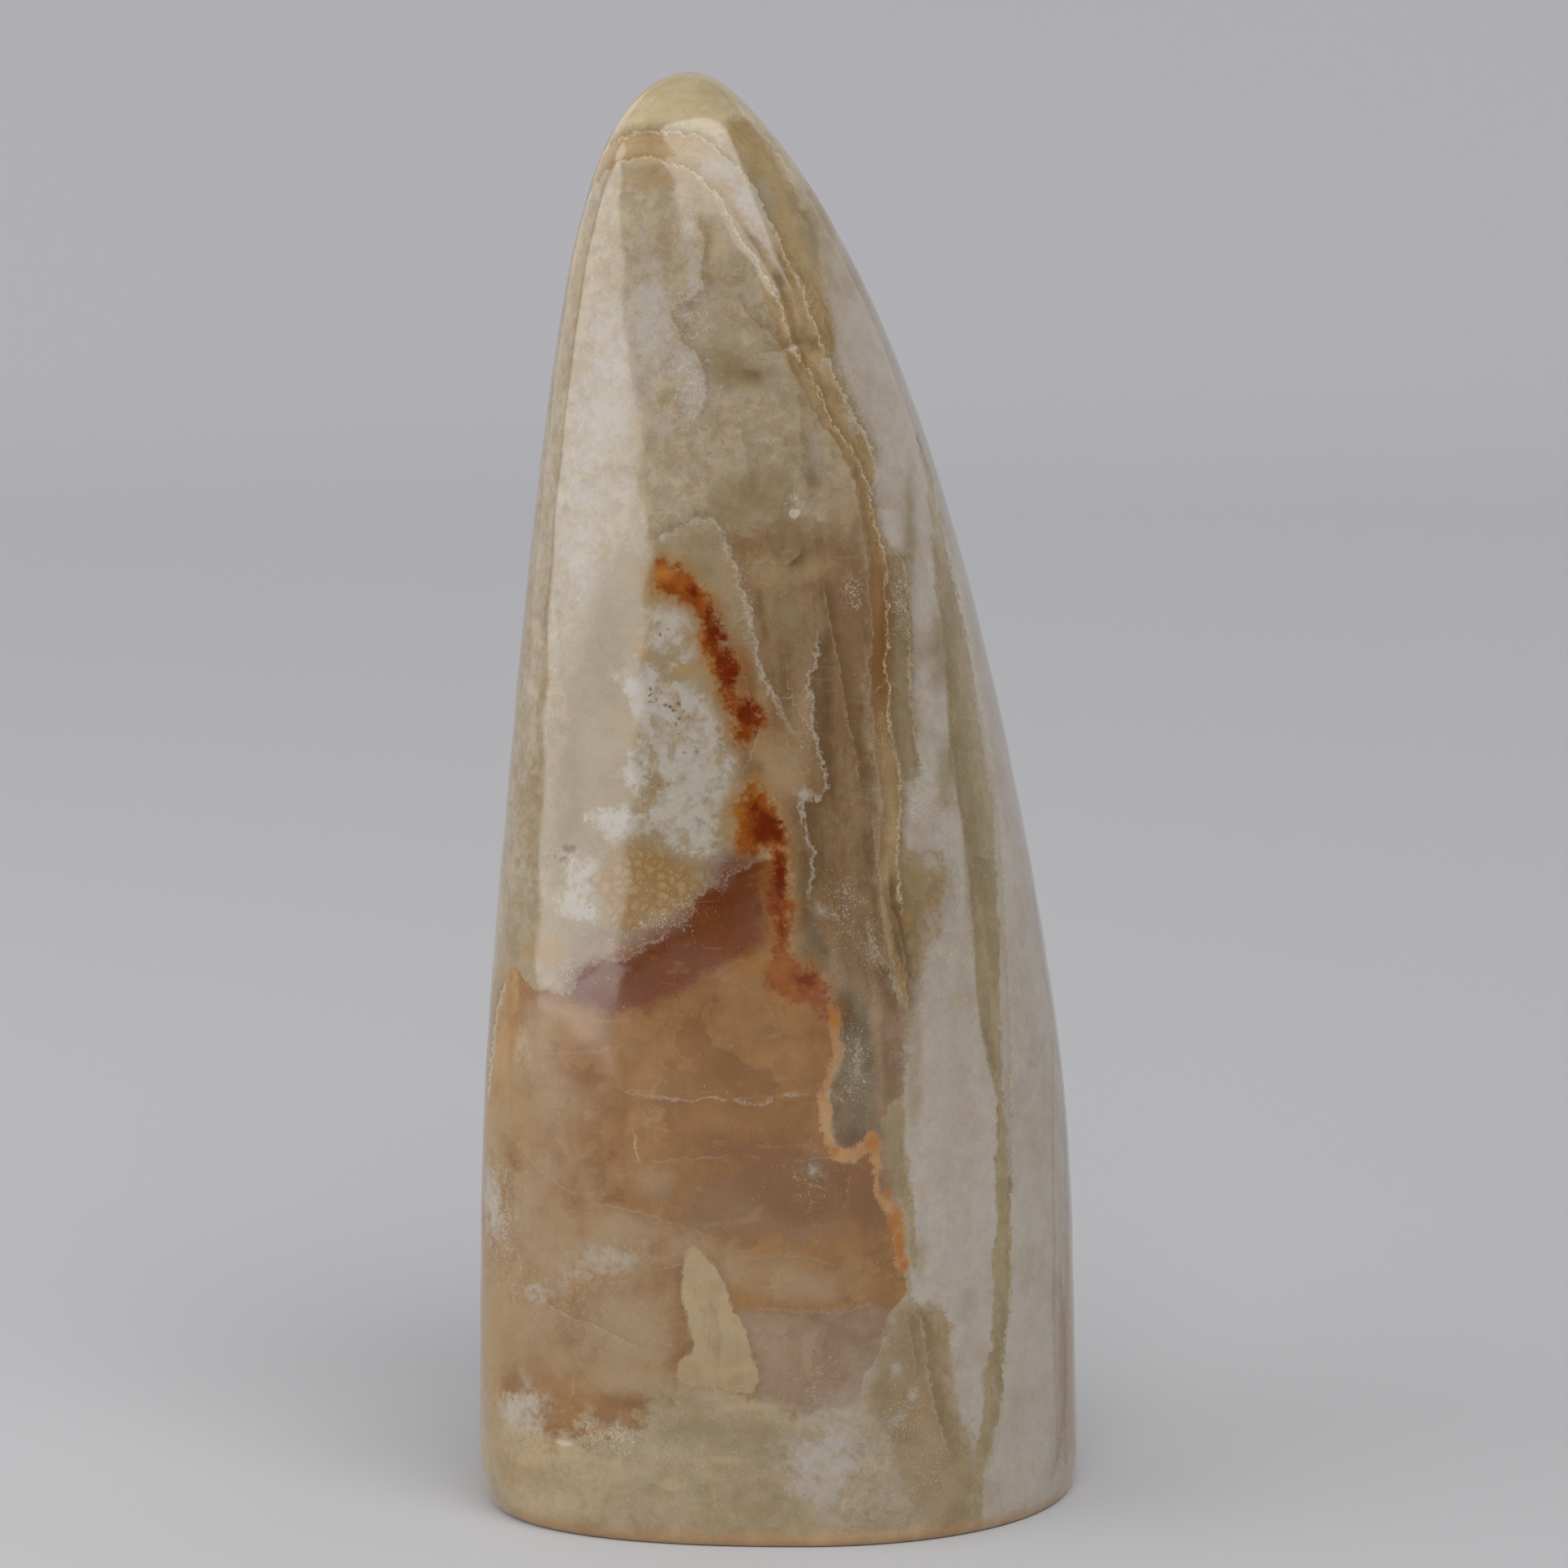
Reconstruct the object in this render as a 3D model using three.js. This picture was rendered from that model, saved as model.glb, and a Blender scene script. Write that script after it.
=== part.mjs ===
// A polished freeform of banded aragonite: one solid stone, hand-shaped like a
// leaning flame, with a flat sawn foot and every other face rounded and polished.
//
// Frame: millimetres, +Z up, the foot on z = 0 and the origin under the middle of
// the stone's box. -Y is the broad show face, +X is the banded right flank.

import * as THREE from "three";

// ---- Driving dimensions -------------------------------------------------------

const HEIGHT = 150;

// The stone narrows upwards almost like a paraboloid, so its flanks are nearly
// straight lines over the crown share c = sqrt(1 - z / HEIGHT): 0 at the tip and
// 1 at the foot. Each profile gives the reach of one flank at these shares.
const CROWN_SHARES = [0, 0.18, 0.32, 0.5, 0.7, 0.85, 1];
const LEFT_REACH = [-9.4, -16.6, -20.7, -24.5, -28.4, -31.2, -32];
const RIGHT_REACH = [-9.4, -1.9, 5.4, 15.2, 24.7, 30.4, 32.1];
const FRONT_REACH = [0, -7.5, -11.5, -16.5, -21.5, -24.2, -25];
const BACK_REACH = [0, 6, 10.5, 16.5, 22.6, 25, 24.6];

// A level section is four quarter superellipses. Shares of the section's width
// and depth say where its foremost, hindmost and widest points lie.
const FOREMOST_SHARE = 0.53;
const HINDMOST_SHARE = 0.46;
const WIDEST_RIGHT_SHARE = 0.52;
const WIDEST_LEFT_SHARE = 0.38;
const SQUARENESS = { frontRight: 2.1, frontLeft: 2.45, backRight: 2.3, backLeft: 2.5 };

// The rounded arris round the foot: how far it cuts in and how high it rises, at
// the front, with what the left, right and back sides add to that.
const ARRIS_INSET = { front: 0.6, left: 1.9, right: 0.5, back: 1.2 };
const ARRIS_RISE = { front: 1, left: 6, right: 3, back: 2 };
const LEFT_FOCUS = 1.5;
const RIGHT_FOCUS = 2;

// Mesh fineness: columns round the stone, rows up it, and how many of those rows
// round the foot's arris.
const COLUMNS = 72;
const BODY_ROWS = 44;
const ARRIS_ROWS = 5;
const ARRIS_TOP = 7;

// ---- Form ---------------------------------------------------------------------

/** A smooth curve through values given at the crown shares, read at share c. */
function profileAt(values, c) {
  const last = CROWN_SHARES.length - 1;
  const slope = (i) => {
    const before = Math.max(i - 1, 0);
    const after = Math.min(i + 1, last);
    return (values[after] - values[before]) / (CROWN_SHARES[after] - CROWN_SHARES[before]);
  };
  let i = 0;
  while (i < last - 1 && c >= CROWN_SHARES[i + 1]) i += 1;
  const span = CROWN_SHARES[i + 1] - CROWN_SHARES[i];
  const t = (c - CROWN_SHARES[i]) / span;
  const start = (2 * t ** 3 - 3 * t ** 2 + 1) * values[i] + (t ** 3 - 2 * t ** 2 + t) * span * slope(i);
  const end = (3 * t ** 2 - 2 * t ** 3) * values[i + 1] + (t ** 3 - t ** 2) * span * slope(i + 1);
  return start + end;
}

/** A number raised to a power with its sign kept. */
function signedPower(value, power) {
  return Math.sign(value) * Math.abs(value) ** power;
}

/** The point of a level section at crown share c and turn angle (0 is +X, 90 degrees is +Y). */
function sectionPoint(c, angle) {
  const left = profileAt(LEFT_REACH, c);
  const right = profileAt(RIGHT_REACH, c);
  const front = profileAt(FRONT_REACH, c);
  const back = profileAt(BACK_REACH, c);
  const toRight = Math.cos(angle) >= 0;
  const toFront = Math.sin(angle) < 0;
  const centreX = left + (right - left) * (toFront ? FOREMOST_SHARE : HINDMOST_SHARE);
  const centreY = front + (back - front) * (toRight ? WIDEST_RIGHT_SHARE : WIDEST_LEFT_SHARE);
  const semiX = toRight ? right - centreX : centreX - left;
  const semiY = toFront ? centreY - front : back - centreY;
  const quarter = (toFront ? "front" : "back") + (toRight ? "Right" : "Left");
  const power = 2 / SQUARENESS[quarter];
  return new THREE.Vector2(
    centreX + semiX * signedPower(Math.cos(angle), power),
    centreY + semiY * signedPower(Math.sin(angle), power),
  );
}

/** How far the foot's arris draws the surface in at this height and turn angle. */
function arrisInset(z, angle) {
  const left = Math.max(-Math.cos(angle), 0) ** LEFT_FOCUS;
  const right = Math.max(Math.cos(angle), 0) ** RIGHT_FOCUS;
  const back = Math.max(Math.sin(angle), 0);
  const blend = (sizes) => sizes.front + sizes.left * left + sizes.right * right + sizes.back * back;
  const drop = Math.max(1 - z / blend(ARRIS_RISE), 0);
  return blend(ARRIS_INSET) * (1 - Math.sqrt(1 - drop ** 2));
}

/** The stone's skin at height z and turn angle. */
function skinPoint(z, angle) {
  const c = Math.sqrt(Math.max(1 - z / HEIGHT, 0));
  const point = sectionPoint(c, angle);
  const reach = point.length();
  const inset = arrisInset(z, angle);
  if (inset > 0) point.multiplyScalar(1 - inset / reach);
  return new THREE.Vector3(point.x, point.y, z);
}

/** The heights of the mesh's rows, from the foot to the tip, closest where the stone turns fastest. */
function rowHeights() {
  const heights = [];
  for (let i = 0; i < ARRIS_ROWS; i += 1) {
    heights.push(ARRIS_TOP * (1 - Math.cos((i / ARRIS_ROWS) * (Math.PI / 2))));
  }
  const firstShare = Math.sqrt(1 - ARRIS_TOP / HEIGHT);
  for (let i = 0; i <= BODY_ROWS; i += 1) {
    const c = firstShare * (1 - i / BODY_ROWS);
    heights.push(HEIGHT * (1 - c ** 2));
  }
  return heights;
}

/** A closed lathe of unit radius whose points are then moved onto the stone's skin. */
function stoneGeometry() {
  const heights = rowHeights();
  const outline = [new THREE.Vector2(0, 0)];
  for (const z of heights.slice(0, -1)) outline.push(new THREE.Vector2(1, z));
  outline.push(new THREE.Vector2(0, HEIGHT));
  const geometry = new THREE.LatheGeometry(outline, COLUMNS);
  const position = geometry.getAttribute("position");
  const point = new THREE.Vector3();
  for (let i = 0; i < position.count; i += 1) {
    point.fromBufferAttribute(position, i);
    const z = point.y;
    const onAxis = Math.hypot(point.x, point.z) < 0.5;
    if (onAxis && z < HEIGHT) {
      point.set(0, 0, 0);
    } else {
      const angle = Math.atan2(point.x, point.z);
      point.copy(skinPoint(z, angle));
    }
    position.setXYZ(i, point.x, point.y, point.z);
  }
  geometry.computeBoundingBox();
  const middle = geometry.boundingBox.getCenter(new THREE.Vector3());
  geometry.translate(-middle.x, -middle.y, 0);
  geometry.computeVertexNormals();
  return geometry;
}

// ---- The part -------------------------------------------------------------------

const polishedAragonite = new THREE.MeshStandardMaterial({
  color: 0xc3b193,
  roughness: 0.25,
  metalness: 0,
});

const stone = new THREE.Mesh(stoneGeometry(), polishedAragonite);
stone.name = "stone";

const freeform = new THREE.Group();
freeform.add(stone);

export default freeform;
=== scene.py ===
"""A polished freeform of banded aragonite, dressed for a still in a plain studio.

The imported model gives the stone's place and size. The piece built here is a finer skin of the
same form, with its bands, stains, patches and veins laid out on a chart of the stone: each
marking is drawn in millimetres, x from left to right and z upwards, as seen from the show face.
"""

import logging
import math
from dataclasses import dataclass, field
from enum import Enum

import bpy
import numpy as np
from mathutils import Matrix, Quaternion, Vector

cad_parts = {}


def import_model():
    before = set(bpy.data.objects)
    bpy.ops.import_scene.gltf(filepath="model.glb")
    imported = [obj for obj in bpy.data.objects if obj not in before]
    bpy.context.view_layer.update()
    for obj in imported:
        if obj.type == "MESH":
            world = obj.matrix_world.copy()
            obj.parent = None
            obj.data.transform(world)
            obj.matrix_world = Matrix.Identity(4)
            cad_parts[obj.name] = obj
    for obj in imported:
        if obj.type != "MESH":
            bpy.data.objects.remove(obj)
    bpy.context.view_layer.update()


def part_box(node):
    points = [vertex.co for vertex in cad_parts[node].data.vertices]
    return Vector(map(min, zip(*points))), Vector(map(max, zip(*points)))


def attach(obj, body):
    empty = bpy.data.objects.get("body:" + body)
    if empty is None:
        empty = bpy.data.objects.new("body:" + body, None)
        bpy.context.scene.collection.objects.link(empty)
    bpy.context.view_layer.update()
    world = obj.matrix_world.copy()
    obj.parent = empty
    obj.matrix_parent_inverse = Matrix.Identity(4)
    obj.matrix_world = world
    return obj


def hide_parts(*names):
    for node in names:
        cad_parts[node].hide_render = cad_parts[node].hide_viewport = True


LOG = logging.getLogger("freeform")
MM = 0.001

# A mix node's colour sockets, which stand after those for numbers and vectors.
MIX_UNDER, MIX_OVER, MIX_RESULT = 6, 7, 2

# The height of the stone's middle over its foot, in metres.
STONE_MIDDLE = 0.075

ChartPath = tuple[tuple[float, float], ...]
Colour = tuple[float, float, float]
Socket = bpy.types.NodeSocket


class Side(Enum):
    """Which part of the skin a marking is laid on."""

    FRONT = "front"
    BACK = "back"
    THROUGH = "through"


@dataclass(frozen=True)
class Patch:
    """A closed marking on the chart.

    The outline is in millimetres. A patch that goes through the stone shows on every side.
    """

    outline: ChartPath
    side: Side = Side.FRONT


@dataclass(frozen=True)
class Vein:
    """A line on the chart.

    The stone darkens beside it where the shade isn't 0: on the right of someone who walks
    along it where the shade is positive, and on the left where it is negative.
    """

    path: ChartPath
    strength: float = 1.0
    shade: float = 0.0
    side: Side = Side.FRONT


@dataclass(frozen=True)
class Cloud:
    """A soft spot on the chart: its middle and its reach across and up, in millimetres.

    It leans by so many degrees against the clock.
    """

    across: float
    up: float
    wide: float
    high: float
    strength: float = 1.0
    lean: float = 0.0
    side: Side = Side.FRONT


def spots(*rows: tuple[float, ...], side: Side = Side.FRONT) -> tuple[Cloud, ...]:
    """Makes clouds on one side from rows of numbers, in the order of a cloud's fields."""
    return tuple(Cloud(*row, side=side) for row in rows)


class Weave(Enum):
    """What moves a zone between its deep and its pale colour."""

    CLOUDY = "soft clouds some millimetres wide"
    BANDED = "streaks that follow the growth of the layers"
    CRYSTAL = "small crystals"
    CURDS = "curds about two millimetres wide"
    CELLS = "round cells about a millimetre wide"
    PLATES = "broad cleavage planes with fine seams between them"


# ----- The stone's form -----

@dataclass(frozen=True)
class StoneForm:
    """The stone's skin, from four profiles and a rounded section.

    Heights are given as crown shares, the square root of the share of the height still to
    climb, because the stone is close to a paraboloid and its profiles are near straight lines
    over that share. All sizes are in millimetres. The sections' squareness is given on the
    left and on the right. The foot's rounded edge has a rise and an inset, each given as what
    it is everywhere and what the left, the right and the back add to it.
    """

    height: float = 150.0
    crown_shares: tuple[float, ...] = (0, 0.18, 0.32, 0.5, 0.7, 0.85, 1)
    left_reach: tuple[float, ...] = (-9.4, -16.6, -20.7, -24.5, -28.4, -31.2, -32)
    right_reach: tuple[float, ...] = (-9.4, -1.9, 5.4, 15.2, 24.7, 30.4, 32.1)
    front_reach: tuple[float, ...] = (0, -7.5, -11.5, -16.5, -21.5, -24.2, -25)
    back_reach: tuple[float, ...] = (0, 6, 10.5, 16.5, 22.6, 25, 24.6)
    foremost_share: float = 0.53
    hindmost_share: float = 0.46
    widest_right_share: float = 0.52
    widest_left_share: float = 0.38
    front_squareness: tuple[float, float] = (2.45, 2.1)
    back_squareness: tuple[float, float] = (2.5, 2.3)
    edge_rise: tuple[float, ...] = (1, 6, 3, 2)
    edge_inset: tuple[float, ...] = (0.6, 1.9, 0.5, 1.2)
    columns: int = 320
    rows: int = 285
    foot_rings: int = 12
    show_face_crowding: float = 0.28

    def profile(self, reach: tuple[float, ...], share: np.ndarray) -> np.ndarray:
        """Reads a profile at crown shares, as a smooth curve through its knots.

        Args:
            reach: the profile's values at the form's crown shares.
            share: the crown shares to read it at.

        Returns:
            The profile's value at each share.
        """
        knots = np.array(self.crown_shares)
        values = np.array(reach, float)
        slopes = np.empty_like(values)
        slopes[1:-1] = (values[2:] - values[:-2]) / (knots[2:] - knots[:-2])
        slopes[0] = (values[1] - values[0]) / (knots[1] - knots[0])
        slopes[-1] = (values[-1] - values[-2]) / (knots[-1] - knots[-2])
        low = np.clip(np.searchsorted(knots, share, side="right") - 1, 0, len(knots) - 2)
        span = knots[low + 1] - knots[low]
        t = (share - knots[low]) / span
        return (
            (2 * t**3 - 3 * t**2 + 1) * values[low]
            + (t**3 - 2 * t**2 + t) * span * slopes[low]
            + (-2 * t**3 + 3 * t**2) * values[low + 1]
            + (t**3 - t**2) * span * slopes[low + 1]
        )

    def section(self, share: np.ndarray, angle: np.ndarray) -> tuple[np.ndarray, np.ndarray]:
        """Gives points of the stone's level sections, before the foot's edge is rounded.

        Args:
            share: crown share of each point.
            angle: direction of each point, 0 at the right flank and a quarter turn at the back.

        Returns:
            The points' x and y.
        """
        left = self.profile(self.left_reach, share)
        right = self.profile(self.right_reach, share)
        front = self.profile(self.front_reach, share)
        back = self.profile(self.back_reach, share)
        to_right = np.cos(angle) >= 0
        to_front = np.sin(angle) < 0
        front_left, front_right = self.front_squareness
        back_left, back_right = self.back_squareness
        in_front = np.where(to_right, front_right, front_left)
        at_back = np.where(to_right, back_right, back_left)
        squareness = np.where(to_front, in_front, at_back)
        turn = np.where(to_front, self.foremost_share, self.hindmost_share)
        middle_x = left + (right - left) * turn
        waist = np.where(to_right, self.widest_right_share, self.widest_left_share)
        middle_y = front + (back - front) * waist
        half_x = np.where(to_right, right - middle_x, middle_x - left)
        half_y = np.where(to_front, middle_y - front, back - middle_y)
        across = np.sign(np.cos(angle)) * np.abs(np.cos(angle)) ** (2 / squareness)
        along = np.sign(np.sin(angle)) * np.abs(np.sin(angle)) ** (2 / squareness)
        return middle_x + half_x * across, middle_y + half_y * along

    def foot_inset(self, height: np.ndarray, angle: np.ndarray) -> np.ndarray:
        """Says how far the rounded edge over the foot pulls the skin in.

        Args:
            height: height of each point over the foot.
            angle: direction of each point.

        Returns:
            The inset of each point.
        """
        to_left = np.maximum(-np.cos(angle), 0) ** 1.5
        to_right = np.maximum(np.cos(angle), 0) ** 2
        to_back = np.maximum(np.sin(angle), 0)
        plain, left, right, back = self.edge_rise
        rise = plain + left * to_left + right * to_right + back * to_back
        plain, left, right, back = self.edge_inset
        inset = plain + left * to_left + right * to_right + back * to_back
        drop = np.maximum(1 - height / rise, 0)
        return inset * (1 - np.sqrt(1 - drop**2))

    def skin(self, share: np.ndarray, angle: np.ndarray) -> np.ndarray:
        """Gives points of the finished skin.

        Args:
            share: crown share of each point.
            angle: direction of each point.

        Returns:
            An array of points, x, y and z last.
        """
        x, y = self.section(share, angle)
        height = self.height * (1 - share**2) + np.zeros_like(x)
        reach = np.maximum(np.hypot(x, y), 1e-6)
        kept = np.where(share > 0.5, 1 - self.foot_inset(height, angle) / reach, 1.0)
        return np.stack([x * kept, y * kept, height], axis=-1)

    def column_angles(self) -> np.ndarray:
        """Spaces the columns evenly round the stone, and closer on the show face.

        Returns:
            Each column's direction.
        """
        fine = np.linspace(0.5 * math.pi, 2.5 * math.pi, 6001)
        x, y = self.section(np.full_like(fine, 0.8), fine)
        step = np.hypot(np.diff(x), np.diff(y))
        middle = (fine[1:] + fine[:-1]) / 2
        step *= 1 - self.show_face_crowding * np.sin(middle)
        walked = np.concatenate([[0], np.cumsum(step)])
        shares = np.arange(self.columns) / self.columns
        return np.interp(shares * walked[-1], walked, fine)

    def row_shares(self) -> np.ndarray:
        """Spaces the rows evenly up the stone, from the foot to just under the tip.

        Returns:
            Each row's crown share.
        """
        fine = np.linspace(1, 0, 4001)
        reach = (
            self.profile(self.right_reach, fine)
            - self.profile(self.left_reach, fine)
            - self.profile(self.front_reach, fine)
            + self.profile(self.back_reach, fine)
        ) / 4
        rise = self.height * (1 - fine**2)
        step = np.hypot(np.diff(reach), np.diff(rise))
        step *= 1 + 2.5 * np.exp(-rise[1:] / 2.5)
        walked = np.concatenate([[0], np.cumsum(step)])
        shares = np.arange(self.rows) / self.rows
        return np.interp(shares * walked[-1], walked, fine)

    def points(self) -> np.ndarray:
        """Lays out every vertex: the foot's middle, its rings, the rows, and the tip.

        Returns:
            The vertices, x, y and z last.
        """
        angles = self.column_angles()
        shares = self.row_shares()
        rows = self.skin(shares[:, None], angles[None, :])
        foot = rows[0] * np.array([1, 1, 0])
        middle = foot.mean(axis=0)
        inward = np.arange(1, self.foot_rings + 1)[:, None, None] / (self.foot_rings + 1)
        rings = middle + (foot - middle) * inward
        tip = self.skin(np.zeros(1), np.zeros(1))
        return np.concatenate([middle[None], rings.reshape(-1, 3), rows.reshape(-1, 3), tip])

    def faces(self) -> list[tuple[int, ...]]:
        """Joins the vertices into one closed skin whose faces look outwards.

        Returns:
            Each face's vertices.
        """
        count = self.columns
        levels = self.foot_rings + self.rows
        last = 1 + levels * count
        made: list[tuple[int, ...]] = []
        for column in range(count):
            beside = (column + 1) % count
            made.append((0, 1 + beside, 1 + column))
            for level in range(levels - 1):
                low = 1 + level * count
                made.append((low + column, low + beside, low + count + beside, low + count + column))
            top = last - count
            made.append((top + column, top + beside, last))
        return made


# ----- The chart that the markings are drawn on -----

def smooth_path(path: ChartPath, closed: bool = False, steps: int = 6) -> np.ndarray:
    """Rounds a path into a smooth curve through its points.

    Args:
        path: the points, in millimetres.
        closed: whether the last point joins the first.
        steps: pieces between two neighbouring points.

    Returns:
        The curve's points, one row each.
    """
    knots = np.array(path, float)
    if closed:
        padded = np.concatenate([knots[-1:], knots, knots[:2]])
    else:
        padded = np.concatenate([2 * knots[:1] - knots[1:2], knots, 2 * knots[-1:] - knots[-2:-1]])
    t = (np.arange(steps) / steps)[:, None]
    curve = []
    for a, b, c, d in zip(padded, padded[1:], padded[2:], padded[3:], strict=False):
        bend = (2 * a - 5 * b + 4 * c - d) * t**2 + (3 * b - a - 3 * c + d) * t**3
        curve.append(b + 0.5 * ((c - a) * t + bend))
    curve.append(padded[-2][None] if not closed else padded[1][None])
    return np.concatenate(curve)


@dataclass
class MarkingChart:
    """The chart of the stone's skin, in millimetres.

    On the show face a point's place on the chart is its own x and z. From the stone's widest
    line on, the layers lean through the stone: the further back a point lies, the further left
    and the lower down its place on the chart is, with a slow sway and ripple.
    """

    points: np.ndarray
    turn_starts: float = -2.5
    turn_reach: float = 15.0
    leans_left: float = 0.62
    leans_down: float = 0.26
    sway_reach: float = 1.8
    ripple_reach: float = 2.2
    chart_x: np.ndarray = field(init=False)
    chart_z: np.ndarray = field(init=False)
    behind: np.ndarray = field(init=False)

    def __post_init__(self) -> None:
        """Works out every point's place on the chart."""
        x, y, z = self.points.T
        turned = np.clip((y - self.turn_starts) / self.turn_reach, 0, 1)
        self.behind = turned**2 * (3 - 2 * turned)
        ripple = np.sin(0.21 * x + 0.09 * z) + 0.6 * np.sin(0.17 * z - 0.3 * x + 1.3)
        sway = np.sin(0.11 * z + 0.13 * y) + 0.5 * np.sin(0.31 * z + 0.2 * x)
        past = np.clip(y - self.turn_starts, 0, None)
        lean = past**2 / (past + 6)
        self.chart_x = x - self.leans_left * lean + self.sway_reach * self.behind * sway
        self.chart_z = z - self.leans_down * lean + self.ripple_reach * self.behind * ripple

    def shown(self, side: Side) -> np.ndarray:
        """Says how much of a marking on this side each point takes, from 0 to 1.

        Args:
            side: where the marking is laid.

        Returns:
            The share at each point.
        """
        if side is Side.FRONT:
            return 1 - self.behind
        if side is Side.BACK:
            return self.behind
        return np.ones_like(self.behind)

    def nearest(self, curve: np.ndarray) -> tuple[np.ndarray, np.ndarray, np.ndarray]:
        """Measures every point against a curve.

        Args:
            curve: the curve's points on the chart.

        Returns:
            Each point's distance from the curve, its offset from it, positive on the right of
            someone who walks along the curve, and the length walked to the nearest place.
        """
        px, pz = self.chart_x, self.chart_z
        best = np.full(px.shape, np.inf)
        offset = np.zeros_like(px)
        walked = np.zeros_like(px)
        gone = 0.0
        for (ax, az), (bx, bz) in zip(curve[:-1], curve[1:], strict=True):
            dx, dz = bx - ax, bz - az
            length = math.hypot(dx, dz)
            if length == 0:
                continue
            t = np.clip(((px - ax) * dx + (pz - az) * dz) / length**2, 0, 1)
            gap = np.hypot(px - ax - t * dx, pz - az - t * dz)
            side = ((px - ax) * -dz + (pz - az) * dx) / length
            closer = gap < best
            best = np.where(closer, gap, best)
            offset = np.where(closer, -side, offset)
            walked = np.where(closer, gone + t * length, walked)
            gone += length
        return best, offset, walked

    def depth_in(self, patches: tuple[Patch, ...], far: float = 8.0) -> np.ndarray:
        """Measures how deep each point lies inside the nearest of some patches.

        Args:
            patches: the patches, taken together.
            far: the most that is told, either way.

        Returns:
            The depth, positive inside and negative outside.
        """
        deepest = np.full(self.chart_x.shape, -far)
        for patch in patches:
            curve = smooth_path(patch.outline, closed=True)
            gap, _, _ = self.nearest(curve)
            inside = self.inside(curve)
            depth = np.where(inside, gap, -gap).clip(-far, far)
            shown = self.shown(patch.side)
            deepest = np.maximum(deepest, depth * shown - far * (1 - shown))
        return deepest

    def inside(self, curve: np.ndarray) -> np.ndarray:
        """Says which points lie inside a closed curve.

        Args:
            curve: the curve's points on the chart.

        Returns:
            True for each point inside.
        """
        px, pz = self.chart_x, self.chart_z
        crossings = np.zeros(px.shape, int)
        for (ax, az), (bx, bz) in zip(curve[:-1], curve[1:], strict=True):
            if az == bz:
                continue
            level = (az > pz) != (bz > pz)
            meets = ax + (pz - az) / (bz - az) * (bx - ax)
            crossings += level & (px < meets)
        return crossings % 2 == 1

    def veins(self, veins: tuple[Vein, ...], room: float = 2.0) -> np.ndarray:
        """Measures every point against the nearest of some veins.

        Args:
            veins: the veins of one family.
            room: how far from its vein a point still belongs to it fully, in millimetres.

        Returns:
            One row per point: its offset from the vein in millimetres, how strongly the vein
            shows there, and how strongly the stone darkens beside it.
        """
        best = np.full(self.chart_x.shape, np.inf)
        offset = np.full_like(best, 9.0)
        strength = np.zeros_like(best)
        shade = np.zeros_like(best)
        for vein in veins:
            curve = smooth_path(vein.path)
            gap, aside, walked = self.nearest(curve)
            length = np.hypot(*np.diff(curve, axis=0).T).sum()
            taper = np.clip(np.minimum(walked, length - walked) / min(2.0, length / 3), 0, 1)
            held = np.clip(2 - gap / room, 0, 1) * self.shown(vein.side) * taper
            closer = gap < best
            best = np.where(closer, gap, best)
            offset = np.where(closer, aside, offset)
            strength = np.where(closer, vein.strength * held, strength)
            shade = np.where(closer, vein.shade * held, shade)
        return np.stack([offset.clip(-9, 9), strength, shade], axis=-1)

    def clouds(self, clouds: tuple[Cloud, ...]) -> np.ndarray:
        """Adds up some soft spots, from 0 where there is none to 1 at most.

        Args:
            clouds: the spots.

        Returns:
            How thick they are at each point.
        """
        clear = np.ones_like(self.chart_x)
        for cloud in clouds:
            turn = math.radians(cloud.lean)
            right, up = self.chart_x - cloud.across, self.chart_z - cloud.up
            along = (right * math.cos(turn) + up * math.sin(turn)) / cloud.wide
            over = (up * math.cos(turn) - right * math.sin(turn)) / cloud.high
            shown = cloud.strength * self.shown(cloud.side)
            clear *= 1 - shown * np.exp(-(along**2) - over**2)
        return 1 - clear


# ----- The bench that the finish is made on -----

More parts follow.
